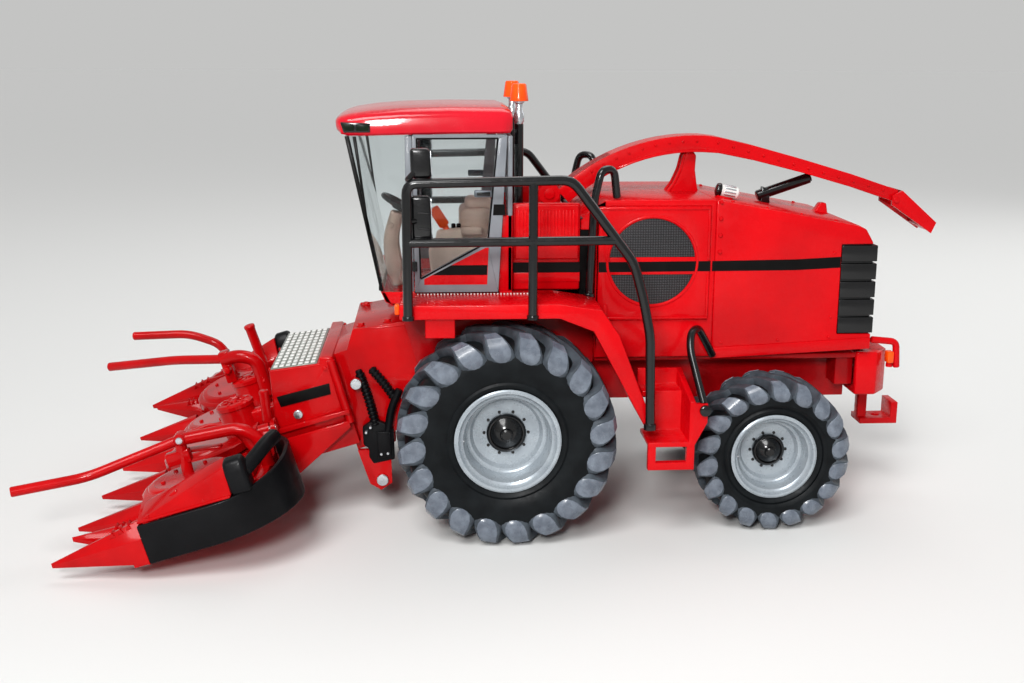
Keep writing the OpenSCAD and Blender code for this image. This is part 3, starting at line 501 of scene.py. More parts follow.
# CAD nodes that keep their shape: node, finish, material slot, rounding of the edges in mm
DRESSED = [
    # The chassis, axles and body shell take the enamel darkened as painted shade
    ("chassis", "enamel_red_painted_shade", "red_metal", 0.25), ("front_axle", "enamel_red_painted_shade", "red_metal", 0.0),
    ("rear_axle", "enamel_red_painted_shade", "red_metal", 0.2), ("knuckle_l", "cast_grey", "frame_grey", 0.0),
    ("knuckle_r", "cast_grey", "frame_grey", 0.0), ("body_shell", "enamel_red_painted_shade", "red_metal", 0.3),
    ("platform_l", "enamel_red", "red_plastic", 0.5), ("platform_r", "enamel_red", "red_plastic", 0.5),
    ("steps", "enamel_red", "red_plastic", 0.3), ("louvre_box", "enamel_red", "red_plastic", 0.5),
    ("hood_front", "enamel_red", "red_metal", 0.5), ("hood_rear", "enamel_red", "red_metal", 0.8),
    ("side_panel_l", "enamel_red", "red_plastic", 0.35), ("side_panel_r", "enamel_red", "red_plastic", 0.35),
    ("rear_grille", "abs_black", "black_plastic", 0.6), ("rear_bumper", "enamel_red", "red_plastic", 0.5),
    ("marker_lamps", "lens_orange", "orange_lens", 0.3), ("hitch", "enamel_red", "red_plastic", 0.25),
    ("beacon_lenses", "lens_orange", "orange_lens", 0.15), ("turret", "enamel_red", "red_plastic", 0.15),
    ("spout_flap", "enamel_red", "red_plastic", 0.25), ("feeder", "abs_red", "red_plastic", 0.3),
]

# Wheels: key, hub in mm, tyre radius, width, rim radius, disc depth from the middle, lugs a side
WHEELS = [
    ("fl", (0, 35, 28.5), 28.5, 20, 13.6, 0.6, 20), ("fr", (0, -35, 28.5), 28.5, 20, 13.6, 0.6, 20),
    ("rl", (-71.2, 29.5, 20.8), 20.8, 16, 11.4, 0.2, 18),
    ("rr", (-71.2, -29.5, 20.8), 20.8, 16, 11.4, 0.2, 18),
]


def wheel_frame(hub):
    """Places a shape made round z, outer side up, on a hub; the right side is mirrored."""
    if hub[1] > 0:
        return Matrix.Translation(hub) @ ACROSS
    return FLIP @ Matrix.Translation((hub[0], -hub[1], hub[2])) @ ACROSS


class TyreSettings(bpy.types.PropertyGroup):
    lug_height: bpy.props.FloatProperty(
        name="Lug height", description="How far the lugs stand out of the tread", default=0.0021,
        unit="LENGTH"
    )
    lug_width: bpy.props.FloatProperty(
        name="Lug width", description="Width of a lug's end on the front tyres", default=0.0062, unit="LENGTH"
    )


class HeaderSettings(bpy.types.PropertyGroup):
    rotor_teeth: bpy.props.IntProperty(
        name="Rotor teeth", description="Teeth on each disc of a rotor", default=20,
    )
    bar_diameter: bpy.props.FloatProperty(
        name="Push bar", description="Diameter of the push bars", default=0.0025, unit="LENGTH"
    )


class HoodSettings(bpy.types.PropertyGroup):
    enamel_colour: bpy.props.FloatVectorProperty(
        name="Enamel", description="Colour of the hood and platforms", subtype="COLOR",
        default=tone("#d0050f")[:3]
    )
    louvres: bpy.props.IntProperty(name="Louvres", description="Ribs on the box behind the cab", default=17)


def tyre_profile(r, w, rim, lug):
    """Half section of a tyre, from its bead over the tread."""
    half, base = w / 2, r - lug
    side = [
        (rim - 1, half - 1.9), (rim + 0.2, half - 1.5), (rim + 0.8, half - 0.9), (rim + 1.4, half - 0.7),
        (rim + 2.0, half - 1.1), (rim + 3.2, half - 0.5), (rim + 5.2, half - 0.05), (base - 4.6, half - 0.15),
        (base - 2.4, half - 0.9), (base - 0.9, half - 2.5), (base - 0.2, half - 4.6), (base, half - 7.0),
    ]
    return side + [(x, -z) for x, z in reversed(side)]


def lug_forms(r, w, height, width):
    """One lug that sweeps from the middle of the tread over the shoulder, and the face of its end, lightened
    as painted sheen.
    """
    half, base, k = w / 2, r - height, r / FRONT_TYRE
    # Angle in degrees, radius and z of the top, radius and z of the foot, half width as a share
    rows = [
        (4.0, r - 0.1, -0.6, base - 0.8, -0.6, 0.2), (-1.0, r, 1.8 * k, base - 0.8, 1.6 * k, 0.24),
        (-5.6, r, half - 5.2 * k, base - 0.8, half - 5.7 * k, 0.29),
        (-8.8, r - 0.25, half - 2.8 * k, base - 1.3, half - 3.8 * k, 0.35),
        (-10.6, r - 1.2 * k, half - 1.0, base - 2.3 * k, half - 2.5, 0.46),
        (-12.0, r - 2.7 * k, half - 0.15, base - 3.4 * k, half - 1.5, 0.56),
        (-13.0, r - 4.2 * k, half + 0.15, base - 4.4 * k, half - 1.3, 0.62),
        (-13.6, r - 5.6 * k, half + 0.15, base - 5.5 * k, half - 1.2, 0.56),
        (-13.9, r - 6.8 * k, half, base - 6.4 * k, half - 1.2, 0.4),
        (-14.0, r - 7.5 * k, half - 0.15, base - 7.0 * k, half - 1.2, 0.14),
    ]

    def section(angle, top, low, reach, shrink):
        """Both feet and both top edges of a lug at one place along it."""
        out = []
        for (radius, z), sign in ((low, -1), (top, -1), (top, 1), (low, 1)):
            wide = reach * (shrink if (radius, z) == top else 1.12)
            a = math.radians(angle) + sign * wide / radius
            out.append((radius * math.cos(a), radius * math.sin(a), z))
        return out

    # Lug body in rubber lightened as painted sheen
    body = Form("rubber_lug_painted_sheen")
    whole = [section(a, (tr, tz), (br, bz), share * width, 0.86) for a, tr, tz, br, bz, share in rows]
    body.loft(whole, soft=0.05 * width, sharp=40)
    # End face of the lug, lightened to a blue grey as painted sheen
    face = Form("rubber_face_painted_sheen")
    sheen_rings = [
        section(a, (tr + 0.1, tz + 0.12), (tr - 0.5, tz - 0.5), share * width * 0.76, 0.9)
        for a, tr, tz, br, bz, share in rows[3:]
    ]
    face.loft(sheen_rings, soft=0)
    return body, face


class HARVESTER_OT_stage(bpy.types.Operator):
    """Floor, backdrop, lamps and the camera"""

    bl_idname = "harvester.stage"
    bl_label = "Stage"

    def execute(self, context):
        scene = context.scene
        scene.view_settings.view_transform = "Standard"
        yaw, pitch, roll = (math.radians(a) for a in CAMERA_TURN)
        look = Vector((-math.sin(yaw) * math.cos(pitch), -math.cos(yaw) * math.cos(pitch), -math.sin(pitch)))
        right = Vector((-math.cos(yaw), math.sin(yaw), 0))
        up = right.cross(look)
        across = right * math.cos(roll) + up * math.sin(roll)
        above = up * math.cos(roll) - right * math.sin(roll)
        lens = bpy.data.cameras.new("camera")
        lens.sensor_width = SENSOR
        lens.lens = FOCAL / WIDTH * SENSOR
        lens.clip_start = 0.01
        camera = bpy.data.objects.new("camera", lens)
        turned = Matrix((across, above, -look)).transposed().to_4x4()
        camera.matrix_world = Matrix.Translation(CAMERA_AT) @ turned
        scene.collection.objects.link(camera)
        scene.camera = camera

        pale, tree, shader = blank("studio_floor")
        feed(tree, shader, {"Base Color": tone("#e0e0de"), "Roughness": 0.75, "Specular IOR Level": 0.2})
        bm = bmesh.new()
        bmesh.ops.create_grid(bm, x_segments=1, y_segments=1, size=8)
        mesh = bpy.data.meshes.new("studio_floor")
        bm.to_mesh(mesh)
        bm.free()
        mesh.materials.append(pale)
        floor = bpy.data.objects.new("studio_floor", mesh)
        scene.collection.objects.link(floor)

        world = bpy.data.worlds.new("studio")
        scene.world = world
        world.use_nodes = True
        nodes = world.node_tree
        nodes.nodes.clear()
        path = put(nodes, "ShaderNodeLightPath").outputs
        lit = put(nodes, "ShaderNodeBackground", {"Color": tone("#e9eaee"), "Strength": 0.2})
        seen = put(nodes, "ShaderNodeBackground", {"Color": tone("#c4c4c3"), "Strength": 1.0})
        shows = path["Is Camera Ray"]
        for ray in ("Is Transmission Ray", "Is Glossy Ray"):
            shows = put(nodes, "ShaderNodeMath", {0: shows, 1: path[ray]}, operation="MAXIMUM").outputs[0]
        mix = put(nodes, "ShaderNodeMixShader", {0: shows, 1: lit.outputs[0], 2: seen.outputs[0]})
        put(nodes, "ShaderNodeOutputWorld", {"Surface": mix.outputs[0]})

        sun = bpy.data.lights.new("daylight", "SUN")
        sun.energy = 2.3
        sun.angle = math.radians(28)
        light = bpy.data.objects.new("daylight", sun)
        light.rotation_euler = Vector((-0.35, -0.75, -1.0)).to_track_quat("-Z", "Y").to_euler()
        scene.collection.objects.link(light)

        # name, place and aim in metres, size, power in watts
        lamps = [
            ("key", (0.08, 0.42, 0.22), (-0.02, 0, 0.06), 0.07, 1.1),
            ("top", (-0.1, -0.25, 0.6), (-0.02, 0, 0.05), 0.4, 1.2),
            ("rear_fill", (-0.6, -0.35, 0.35), (-0.02, 0, 0.06), 0.4, 0.7),
        ]
        for name, place, aim, size, power in lamps:
            data = bpy.data.lights.new(name, "AREA")
            data.size = size
            data.energy = power
            lamp = bpy.data.objects.new(name, data)
            lamp.location = place
            lamp.rotation_euler = (Vector(aim) - Vector(place)).to_track_quat("-Z", "Y").to_euler()
            scene.collection.objects.link(lamp)
        return {"FINISHED"}


class HARVESTER_OT_castings(bpy.types.Operator):
    """Castings and mouldings that keep their CAD shape, with rounded edges"""

    bl_idname = "harvester.castings"
    bl_label = "Castings"

    def execute(self, context):
        for node, finish, slot, soft in DRESSED:
            dress(node, finish, slot, soft)
        return {"FINISHED"}


class HARVESTER_OT_tyres(bpy.types.Operator):
    """Tyres with their lugs"""

    bl_idname = "harvester.tyres"
    bl_label = "Tyres"

    def execute(self, context):
        chosen = context.scene.harvester_tyres
        for key, hub, r, w, rim, disc, lugs in WHEELS:
            scale = r / FRONT_TYRE
            lug = chosen.lug_height / MM * (0.6 + 0.4 * scale)
            width = chosen.lug_width / MM * (0.35 + 0.65 * scale)
            tyre = Form("rubber_side", "rubber_lug_painted_sheen", "rubber_face_painted_sheen", base=wheel_frame(hub))
            tyre.lathe(tyre_profile(r, w, rim, lug), 96)
            # The inner lugs are turned over and stand between the outer ones
            for at, start in ((Matrix(), 0.0), (Matrix.Rotation(math.pi, 4, "X"), math.pi / lugs)):
                for form in lug_forms(r, w, lug, width):
                    tyre.ring(form, lugs, start, at)
            tyre.piece("tyre_" + key + "_treaded", "wheel_" + key, "tyre_rubber", "tyre_" + key)
        return {"FINISHED"}


class HARVESTER_OT_rims(bpy.types.Operator):
    """Rims in silver with black caps and bolt holes"""

    bl_idname = "harvester.rims"
    bl_label = "Rims"

    def execute(self, context):
        for key, hub, r, w, rim, disc, lugs in WHEELS:
            # Distance of the rim's outer edge from the wheel's middle
            edge = (w - 3.2) / 2 + 0.8
            dish = Form("silver_paint", "abs_black", "plated_steel", base=wheel_frame(hub))
            dish.lathe(
                [
                    (rim - 0.9, edge - 1.0), (rim, edge - 0.9), (rim + 0.1, edge - 0.2), (rim - 0.3, edge),
                    (rim * 0.93, edge - 0.1), (rim * 0.9, edge - 0.9), (rim * 0.87, edge - 1.3),
                    (rim * 0.84, edge - 1.5), (rim * 0.81, edge - 2.6), (rim * 0.77, disc + 1.9),
                    (rim * 0.74, disc + 1.6), (rim * 0.7, disc + 1.5), (rim * 0.67, disc + 0.6),
                    (rim * 0.64, disc + 0.1), (rim * 0.5, disc), (rim * 0.38, disc), (0, disc),
                    (0, disc - 1.4),
                    (rim * 0.7, disc - 1.4), (rim * 0.78, disc - 1.2), (rim * 0.8, -edge + 1.2),
                    (rim, -edge + 0.2),
                    (rim, -edge + 0.9), (rim - 0.9, -edge + 1.0), (rim - 0.9, 0),
                ],
                72,
            )
            # Bolt holes round the cap
            hole = Form("abs_black")
            hole.knob((rim * 0.425, 0, disc - 0.25), 0.42, 0.5, dome=0.2, steps=10)
            dish.ring(hole, 10)
            # Stepped hub cap, and the valve in the rim
            cap = rim * 0.38
            dish.lathe(
                [
                    (0, disc), (cap, disc), (cap, disc + 0.9), (cap * 0.9, disc + 1.3),
                    (cap * 0.84, disc + 1.35),
                    (cap * 0.8, disc + 1.1), (cap * 0.72, disc + 1.35), (cap * 0.5, disc + 2.2),
                    (cap * 0.34, disc + 2.5), (cap * 0.3, disc + 3.2), (cap * 0.22, disc + 3.45),
                    (0, disc + 3.5),
                ],
                40, finish="abs_black",
            )
            dish.knob((rim * 0.83, 0, edge - 2.2), 0.3, 1.1, finish="plated_steel")
            dish.piece("rim_" + key + "_finished", "wheel_" + key, "rim_silver", "rim_" + key, smooth=24)
        return {"FINISHED"}


class HARVESTER_OT_hood(bpy.types.Operator):
    """Stripes, round screens, rivets and louvres of the hood"""

    bl_idname = "harvester.hood"
    bl_label = "Hood details"

    def execute(self, context):
        chosen = context.scene.harvester_hood
        paint = FINISH["enamel_red"].node_tree.nodes["Mix"].inputs["A"]
        paint.default_value = (*chosen.enamel_colour, 1.0)
        # Distance of the hood's walls and of the side panels' faces from the middle
        wall, panel = 24.0, 24.6
        stripe = [(-55.3, 68.7), (-55.3, 71.4), (-78, 71.7), (-90, 72.3), (-90, 69.4), (-78, 68.8)]
        # Flat trim of each side: outline, distance from the middle, depth, finish and rounding
        plates = [
            # Stripe on the rear part, rising to the rear, and its pieces across the screen
            (stripe, wall, 0.07, "ink_black", 0),
            ([(-24.9, 68.7), (-24.9, 71.4), (-27.9, 71.4), (-28.0, 68.7)], panel, 0.07, "ink_black", 0),
            (
                [(-27.8, 68.0), (-27.8, 72.6), (-50.7, 72.6), (-50.7, 68.0)],
                panel - 0.2, 0.24, "enamel_red", 0.1,
            ),
            ([(-27.9, 68.7), (-27.9, 71.4), (-50.6, 71.5), (-50.6, 68.8)], panel, 0.09, "ink_black", 0),
            ([(-50.5, 68.8), (-50.5, 71.5), (-54.7, 71.5), (-54.7, 68.8)], panel, 0.07, "ink_black", 0),
            # Tab and edges of the side panel
            ([(-26.4, 56), (-26.4, 60), (-27.4, 60), (-27.4, 56)], panel, 0.35, "enamel_red", 0.12),
            ([(-25.2, 85.2), (-54.2, 85.2), (-54.2, 85.7), (-25.2, 85.7)], panel, 0.3, "enamel_red", 0.12),
            ([(-53.8, 56.6), (-54.4, 56.6), (-54.4, 68.5), (-53.8, 68.5)], panel, 0.3, "enamel_red", 0.12),
            ([(-53.8, 71.8), (-54.4, 71.8), (-54.4, 85.2), (-53.8, 85.2)], panel, 0.3, "enamel_red", 0.12),
            ([(-25.2, 56.0), (-54.4, 56.0), (-54.4, 56.6), (-25.2, 56.6)], panel, 0.3, "enamel_red", 0.12),
            # Raised rail along the hood's foot
            ([(-56.2, 44.9), (-99.4, 47.1), (-99.4, 50.2), (-56.2, 47.8)], wall, 0.45, "enamel_red", 0.2),
            # Ledge and stripe below the louvres
            ([(-2.6, 66.2), (-2.6, 68.7), (-20, 68.7), (-20, 66.2)], wall, 0.25, "enamel_red", 0.1),
            ([(-2.4, 68.7), (-2.4, 71.4), (-20, 71.4), (-20, 68.7)], wall, 0.3, "ink_black", 0),
        ]
        for side, key in HANDS:
            trim = Form("ink_black", "screen_black", "enamel_red")
            # Round screen and its pressed rim
            middle = Matrix.Translation((-39.2, side * (panel - 0.75), 71.4))
            seat = middle @ Matrix.Rotation(-side * math.pi / 2, 4, "X")
            screen = [(0, 0.05), (11.5, 0.05), (11.5, 0.3), (10.9, 0.42), (6, 0.62), (0, 0.66)]
            trim.lathe(screen, 72, at=seat, finish="screen_black")
            rim = [(11.45, 0.1), (12.3, 0.1), (12.3, 0.82), (12.05, 0.95), (11.75, 0.9), (11.45, 0.62)]
            trim.lathe(rim, 72, at=seat, finish="enamel_red")
            for points, y, depth, finish, soft in plates:
                trim.slab(side, points, y, depth, finish, soft)
            # Rivets down the seam behind the panel, and a few on the rear part
            rivet = Form("enamel_red")
            rivet.stud(side, (-57.2, wall, 73.9), 0.6, 0.5, dome=0.7, steps=12)
            trim.row(rivet, count=4, step=(0, 0, 4.4))
            for x, z in ((-88.2, 56), (-88.2, 73.4), (-58.6, 49.2), (-74, 49.8), (-88, 50.4)):
                trim.stud(side, (x, wall, z), 0.4, 0.3, dome=0.7, steps=10, finish="enamel_red")
            # Proud panel of the box behind the cab, with upright ribs in its upper part
            trim.prism(
                [(-2.8, 72.2), (-2.8, 86.4), (-19.6, 86.4), (-19.6, 72.2)], side * 23.6, side * 24.5,
                finish="enamel_red", soft=0.7, levels=4,
            )
            pitch = 15.2 / chosen.louvres
            louvre = Form("enamel_red")
            louvre.prism(
                [(-pitch * 0.62, 76.4), (0, 76.4), (0, 85.2), (-pitch * 0.62, 85.2)],
                side * 24.3, side * 24.8,
                soft=0.16,
            )
            trim.row(louvre, at=Matrix.Translation((-3.6, 0, 0)), count=chosen.louvres, step=(-pitch, 0, 0))
            trim.piece("hood_trim_" + key, "machine", "red_plastic")
        top = Form("enamel_red", "abs_black", "plated_steel", "ink_black", "tread_white")
        # Black block filling the gap between the box behind the cab and the hood, as painted shade, and bolts
        # along the sloping top
        top.box((-24.4, -21.5, 62), (-20.2, 21.5, 82.6), finish="ink_black", soft=0)
        bolt = Form("enamel_red")
        bolt.knob((-61, 20.5, 86.62), 0.5, 0.45, axis=(-0.17, 0, 0.98), dome=0.6, steps=10)
        top.row(bolt, count=4, step=(-9.4, 0, -1.7), columns=2, column_step=(0, -41, 0))
        # Filler cap with its ridged collar, exhaust with its bore and foot, and the spout's rest
        seat = Matrix.Translation((-60.5, 12, 86.78)) @ Matrix.Rotation(math.radians(-10.28), 4, "Y")
        top.lathe([(0, -0.6), (2.4, -0.6), (2.4, 0.5), (0, 0.5)], 28, at=seat)
        top.tube([(-59.3, 12, 88.9), (-64.4, 12, 87.9)], 3.3, sides=28, finish="tread_white")
        collar = Matrix.Translation((-59.1, 12, 88.95)) @ Matrix.Rotation(math.radians(78.5), 4, "Y")
        top.lathe(
            [(0, -0.4), (1.8, -0.4), (1.9, 0.1), (1.7, 0.7), (0.9, 1.0), (0, 1.0)],
            28, at=collar, finish="abs_black",
        )
        ridge = Form("plated_steel")
        ridge.box((1.55, -0.2, -4.4), (1.8, 0.2, -1.2), soft=0.08)
        top.ring(ridge, 12, at=collar)
        top.tube([(-72.6, 0, 85.9), (-87.6, 0, 91.0)], 3.0, sides=24, finish="abs_black")
        bore = Matrix.Translation((-87.65, 0, 91.02)) @ Matrix.Rotation(math.radians(-71), 4, "Y")
        top.lathe([(0, 0.02), (1.15, 0.02), (1.15, 0.12), (0, 0.12)], 20, at=bore, finish="ink_black")
        top.prism(
            [(-76.2, 83.7), (-73.5, 84.2), (-74, 88.6), (-76, 87.9)],
            -1.3, 1.3, finish="abs_black", soft=0.25,
        )
        blade = [
            (-46.6, 86.9), (-48.6, 89.6), (-50.3, 93.4), (-51.2, 97.4), (-52.3, 98.6), (-53.7, 98.6),
            (-54.6, 97.4), (-54.4, 93.4), (-55.0, 89.6), (-55.6, 86.9),
        ]
        top.prism(blade, -2.4, 2.4, finish="enamel_red", soft=0.4, levels=3)
        for y in (-2.2, 2.2):
            top.tube([(x, y, z) for x, z in blade[:5]], 0.9, turn=1, sides=8, finish="enamel_red")
        top.piece("hood_top_parts", "machine", "black_plastic", "exhaust", "filler_cap", "spout_rest")
        return {"FINISHED"}


class HARVESTER_OT_cab(bpy.types.Operator):
    """Cab tub, frames, glass, roof lamps, seat and controls"""

    bl_idname = "harvester.cab"
    bl_label = "Cab"

    def execute(self, context):
        # The cab's glass keeps its CAD mesh and only takes its finish
        glass = frame["nodes"]["cab_glass"]
        glass.data.materials.clear()
        glass.data.materials.append(FINISH["acrylic_clear"])
        # Floor, sills, rear wall and corner posts of the cab
        tub = Form("enamel_red", "ink_grey", "ink_black", "abs_black")
        tub.prism([(-2, 60.4), (28.4, 60.4), (30.6, 61.4), (-2, 61.4)], -27, 27, soft=0.15)
        tub.prism([(29.0, 60.6), (31, 61.6), (32.2, 64.6), (31.2, 64.6), (29.6, 61.6)], -27, 27, soft=0.15)
        tub.box((-2, -27, 64.4), (-0.8, 27, 76), soft=0.2)
        tub.box((-2, -25, 101.4), (-0.8, 25, 104.4), finish="ink_grey", soft=0.2)
        for side in SIDES:
            sill = [(-2, 60.4), (28.4, 60.4), (31, 61.6), (32.2, 64.4), (-2, 64.4)]
            tub.prism(sill, side * 26, side * 27, soft=0.2)
            tub.box((-2, side * 25, 76), (-0.8, side * 27, 104.4), finish="ink_grey", soft=0.2)
            tub.box((23.6, side * 25, 64.4), (25.4, side * 27, 104.4), finish="ink_grey", soft=0.2)
            # Two black seals along the windscreen's edge
            for seal in (
                [(31.5, 64.6), (32.3, 64.6), (40.5, 104.3), (39.5, 104.3)],
                [(34.6, 79), (35, 79), (38.5, 104.3), (37.6, 104.3)],
            ):
                tub.prism(seal, side * 26.85, side * 27.12, finish="ink_black", soft=0.08)
            tub.prism([(-2, 64.4), (2.4, 64.4), (1.2, 84.2), (-2, 84.2)], side * 26.4, side * 27, soft=0.1)
        # Black foot of the windscreen and its wipers
        tub.box((32.2, -26.5, 64.6), (32.7, 26.5, 65.8), finish="ink_black", soft=0.1)
        tub.tube([(33.4, 4, 68), (35.6, -9, 79.5)], 0.7, sides=8, finish="abs_black")
        tub.tube([(34.6, -13, 73.6), (37.2, -6, 87)], 0.55, sides=8, finish="abs_black")
        tub.piece("cab_tub", "machine", "red_metal", "cab_body")

        roof = Form("abs_roof_red", "abs_black", "lens_dark")
        # Roof as sections along x: place, half width, lower and upper height
        stations = [
            (-2.0, 26.4, 105.9, 110.4), (-1.4, 27.0, 105.2, 111.0), (0.6, 27.4, 105.0, 111.6),
            (14, 27.5, 104.9, 111.7), (26, 27.5, 104.7, 111.4), (34, 27.4, 104.5, 110.8),
            (39.4, 27.2, 104.5, 110.0), (41.4, 26.6, 104.9, 109.5), (42.6, 24.6, 105.9, 109.0),
            (43.1, 21.0, 106.8, 108.4),
        ]
        rings = []
        for x, w, low, high in stations:
            lift = (high - low) / 6.6
            half = [
                (w - 0.5, low), (w, low + 0.5), (w, high - 2.6 * lift), (w - 0.5, high - 1.4 * lift),
                (w - 1.7, high - 0.6 * lift), (w - 4, high - 0.1), (w * 0.4, high + 0.25 * lift),
            ]
            rings.append([(x, y, z) for y, z in half] + [(x, -y, z) for y, z in reversed(half)])
        roof.loft(rings, soft=0)
        # Housing of the corner lamps and their two lenses: outline, depth, finish and rounding
        lamp = [
            ([(41.5, 107.9), (34.0, 107.6), (34.0, 105.3), (40.7, 105.3)], 0.55, "abs_black", 0.15),
            ([(41.0, 107.5), (38.0, 107.4), (38.0, 105.7), (40.4, 105.7)], 0.62, "lens_dark", 0.1),
            ([(37.5, 107.4), (34.4, 107.2), (34.4, 105.7), (37.5, 105.7)], 0.62, "lens_dark", 0.1),
        ]
        for side in SIDES:
            for outline, depth, finish, soft in lamp:
                roof.slab(side, outline, 27.1, depth, finish, soft)
            roof.box((41.4, side * 9, 106.0), (43.1, side * 19, 108.3), finish="abs_black", soft=0.25)
            roof.box((41.6, side * 9.6, 106.4), (43.3, side * 18.4, 107.9), finish="lens_dark", soft=0.2)
        roof.piece("roof_and_lamps", "machine", "red_plastic", "cab_roof", smooth=40)

        for side, key in HANDS:
            door = Form("ink_grey", "ink_black", "enamel_red", "abs_black", "cast_grey")
            # Frame in one loop round the pane, built from the strips between outline and pane
            pane = [(4.6, 77.6), (2.1, 103.7), (22.2, 103.6), (21.6, 68.3)]
            outline = [(1.7, 64.4), (-0.6, 104.8), (23.5, 104.8), (23.3, 64.4)]
            for k in range(4):
                n = (k + 1) % 4
                door.prism([outline[k], outline[n], pane[n], pane[k]], side * 26.8, side * 28.4, soft=0.12)
            face = 28.38
            door.slab(
                side, [(20.9, 66.4), (20.9, 67.9), (5.0, 76.0), (4.2, 76.0), (4.6, 66.4)], face, 0.06,
                "enamel_red",
            )
            door.slab(
                side, [(18.9, 68.9), (13.9, 71.5), (4.5, 71.5), (4.6, 68.9)], face + 0.05, 0.05, "ink_black",
            )
            # Black lines round the pane and the frame
            for ring, wide, out in ((pane, 0.42, 0.2), (outline, 0.3, 0.06)):
                for a, b in zip(ring, ring[1:] + ring[:1]):
                    run = Vector((b[0] - a[0], b[1] - a[1])).normalized() * wide
                    off = Vector((run.y, -run.x)) * (1 if ring is pane else -1)
                    start, end = Vector(a) - run * 0.6, Vector(b) + run * 0.6
                    door.slab(side, [start, end, end - off, start - off], face - 0.1, out, "ink_black")
            door.slab(side, [(-0.1, 84.4), (3.1, 84.4), (2.9, 87.2), (0.1, 87.2)], face, 0.09, "ink_black")
            # Handle
            door.prism(
                [(3.3, 89.0), (7.9, 89.0), (7.9, 90.8), (3.3, 90.8)],
                side * 27.4, side * 28.9, finish="cast_grey",
                soft=0.35,
            )
            door.prism(
                [(3.8, 89.4), (7.2, 89.5), (7.2, 90.3), (3.8, 90.4)],
                side * 28.6, side * 29.1, finish="abs_black",
                soft=0.15,
            )
            # Hinges
            for z in (70, 98):
                door.knob((23.3, side * 28.4, z), 0.7, 2.6, dome=0.12, finish="abs_black")
            sheet = Form("acrylic_clear")
            sheet.prism(
                [(4.4, 77.2), (1.9, 103.9), (22.4, 103.8), (21.8, 68.0)], side * 27.3, side * 27.9, soft=0,
            )
            sheet.piece("door_pane_" + key, "door_" + key, "clear_glazing", "door_glass_" + key)
            door.piece("door_" + key + "_finished", "door_" + key, "frame_grey", "door_" + key)

        # Seat with its pleats and armrest, and the console with its lever and two buttons
        seat = Form("abs_beige", "abs_black", "abs_orange")
        seat.box((4, -6, 61.6), (13, 6, 68.6), soft=0.8)
        seat.box((2.6, -8, 68.2), (16.4, 8, 75.2), soft=1.6, levels=4)
        seat.box((2.4, -8, 74.4), (11.2, 8, 83.6), soft=1.9, levels=5)
        seat.box((2.2, -5, 82.6), (9.6, 5, 86.0), soft=1.4, levels=4)
        pleat = Form("abs_beige")
        pleat.tube([(10.5, -6, 76.4), (10.5, -6, 83)], 0.8, sides=8)
        seat.row(pleat, count=5, step=(0, 3, 0))
        seat.box((5, 8.4, 76.6), (14, 10.8, 79), soft=0.9, levels=3)
        seat.prism(
            [(6, 63), (18.6, 63), (19.8, 73.4), (18.4, 75.6), (6, 75.0)], 11.4, 16.6, soft=0.9, levels=3,
        )
        seat.prism([(10.4, 75), (18.0, 75.2), (17.4, 78.6), (10.8, 79.4)], 11.8, 16.2, soft=0.8, levels=3)
        seat.tube([(14.2, 14, 77.4), (15.8, 14, 80.8)], 1.7, sides=12, finish="abs_orange")
        seat.tube([(15.3, 14, 79.8), (18.4, 14, 84.6)], 2.9, sides=16, finish="abs_orange")
        for x in (11.6, 13.0):
            seat.knob((x, 13.4, 79.0), 0.6, 1.4, finish="abs_black")
        seat.piece("seat_and_console", "machine", "beige_plastic", "seat")

        # Steering column and wheel
        column = Form("abs_beige", "abs_black")
        column.tube([(28.6, 0, 61.2), (30.4, 0, 74.6), (28.2, 0, 82)], 4.8, turn=4, sides=18, taper=0.8)
        column.knob((30.0, 2.2, 78.4), 0.8, 1.2, axis=(0, 1, 0))
        wheel = Matrix.Translation((27.6, 0, 84)) @ Matrix.Rotation(math.radians(-30), 4, "Y")
        rim = [(5 + 0.8 * math.cos(TURN * k / 10), 0.8 * math.sin(TURN * k / 10)) for k in range(10)]
        column.lathe(rim, 40, at=wheel, finish="abs_black")
        column.lathe(
            [(0, -1.6), (1.6, -1.6), (1.7, -0.2), (1.2, 0.3), (0, 0.4)], 20, at=wheel, finish="abs_black",
        )
        spoke = Form("abs_black")
        spoke.tube([(1.2, 0, -0.4), (4.8, 0, 0)], 0.9, sides=8)
        column.ring(spoke, 3, 0.5, at=wheel)
        column.piece("steering", "machine", "beige_plastic", "steering_column")

        # Posts of the beacons with their bright sockets
        posts = Form("abs_black", "plated_steel")
        for side in SIDES:
            base = Matrix.Translation((-4.4, side * 15, 0))
            posts.tube([(-4.4, side * 15, 81.8), (-4.4, side * 15, 106.9)], 2.4, sides=20)
            posts.lathe(
                [
                    (0, 106.8), (1.1, 106.8), (1.35, 107.4), (1.35, 109.4), (1.05, 110.1), (0.95, 110.3),
                    (0.95, 112), (1.4, 112.3), (1.4, 112.7), (0, 112.7),
                ],
                24, at=base, finish="plated_steel",
            )
        posts.piece("beacon_stands", "machine", "black_plastic", "beacon_posts")
        return {"FINISHED"}


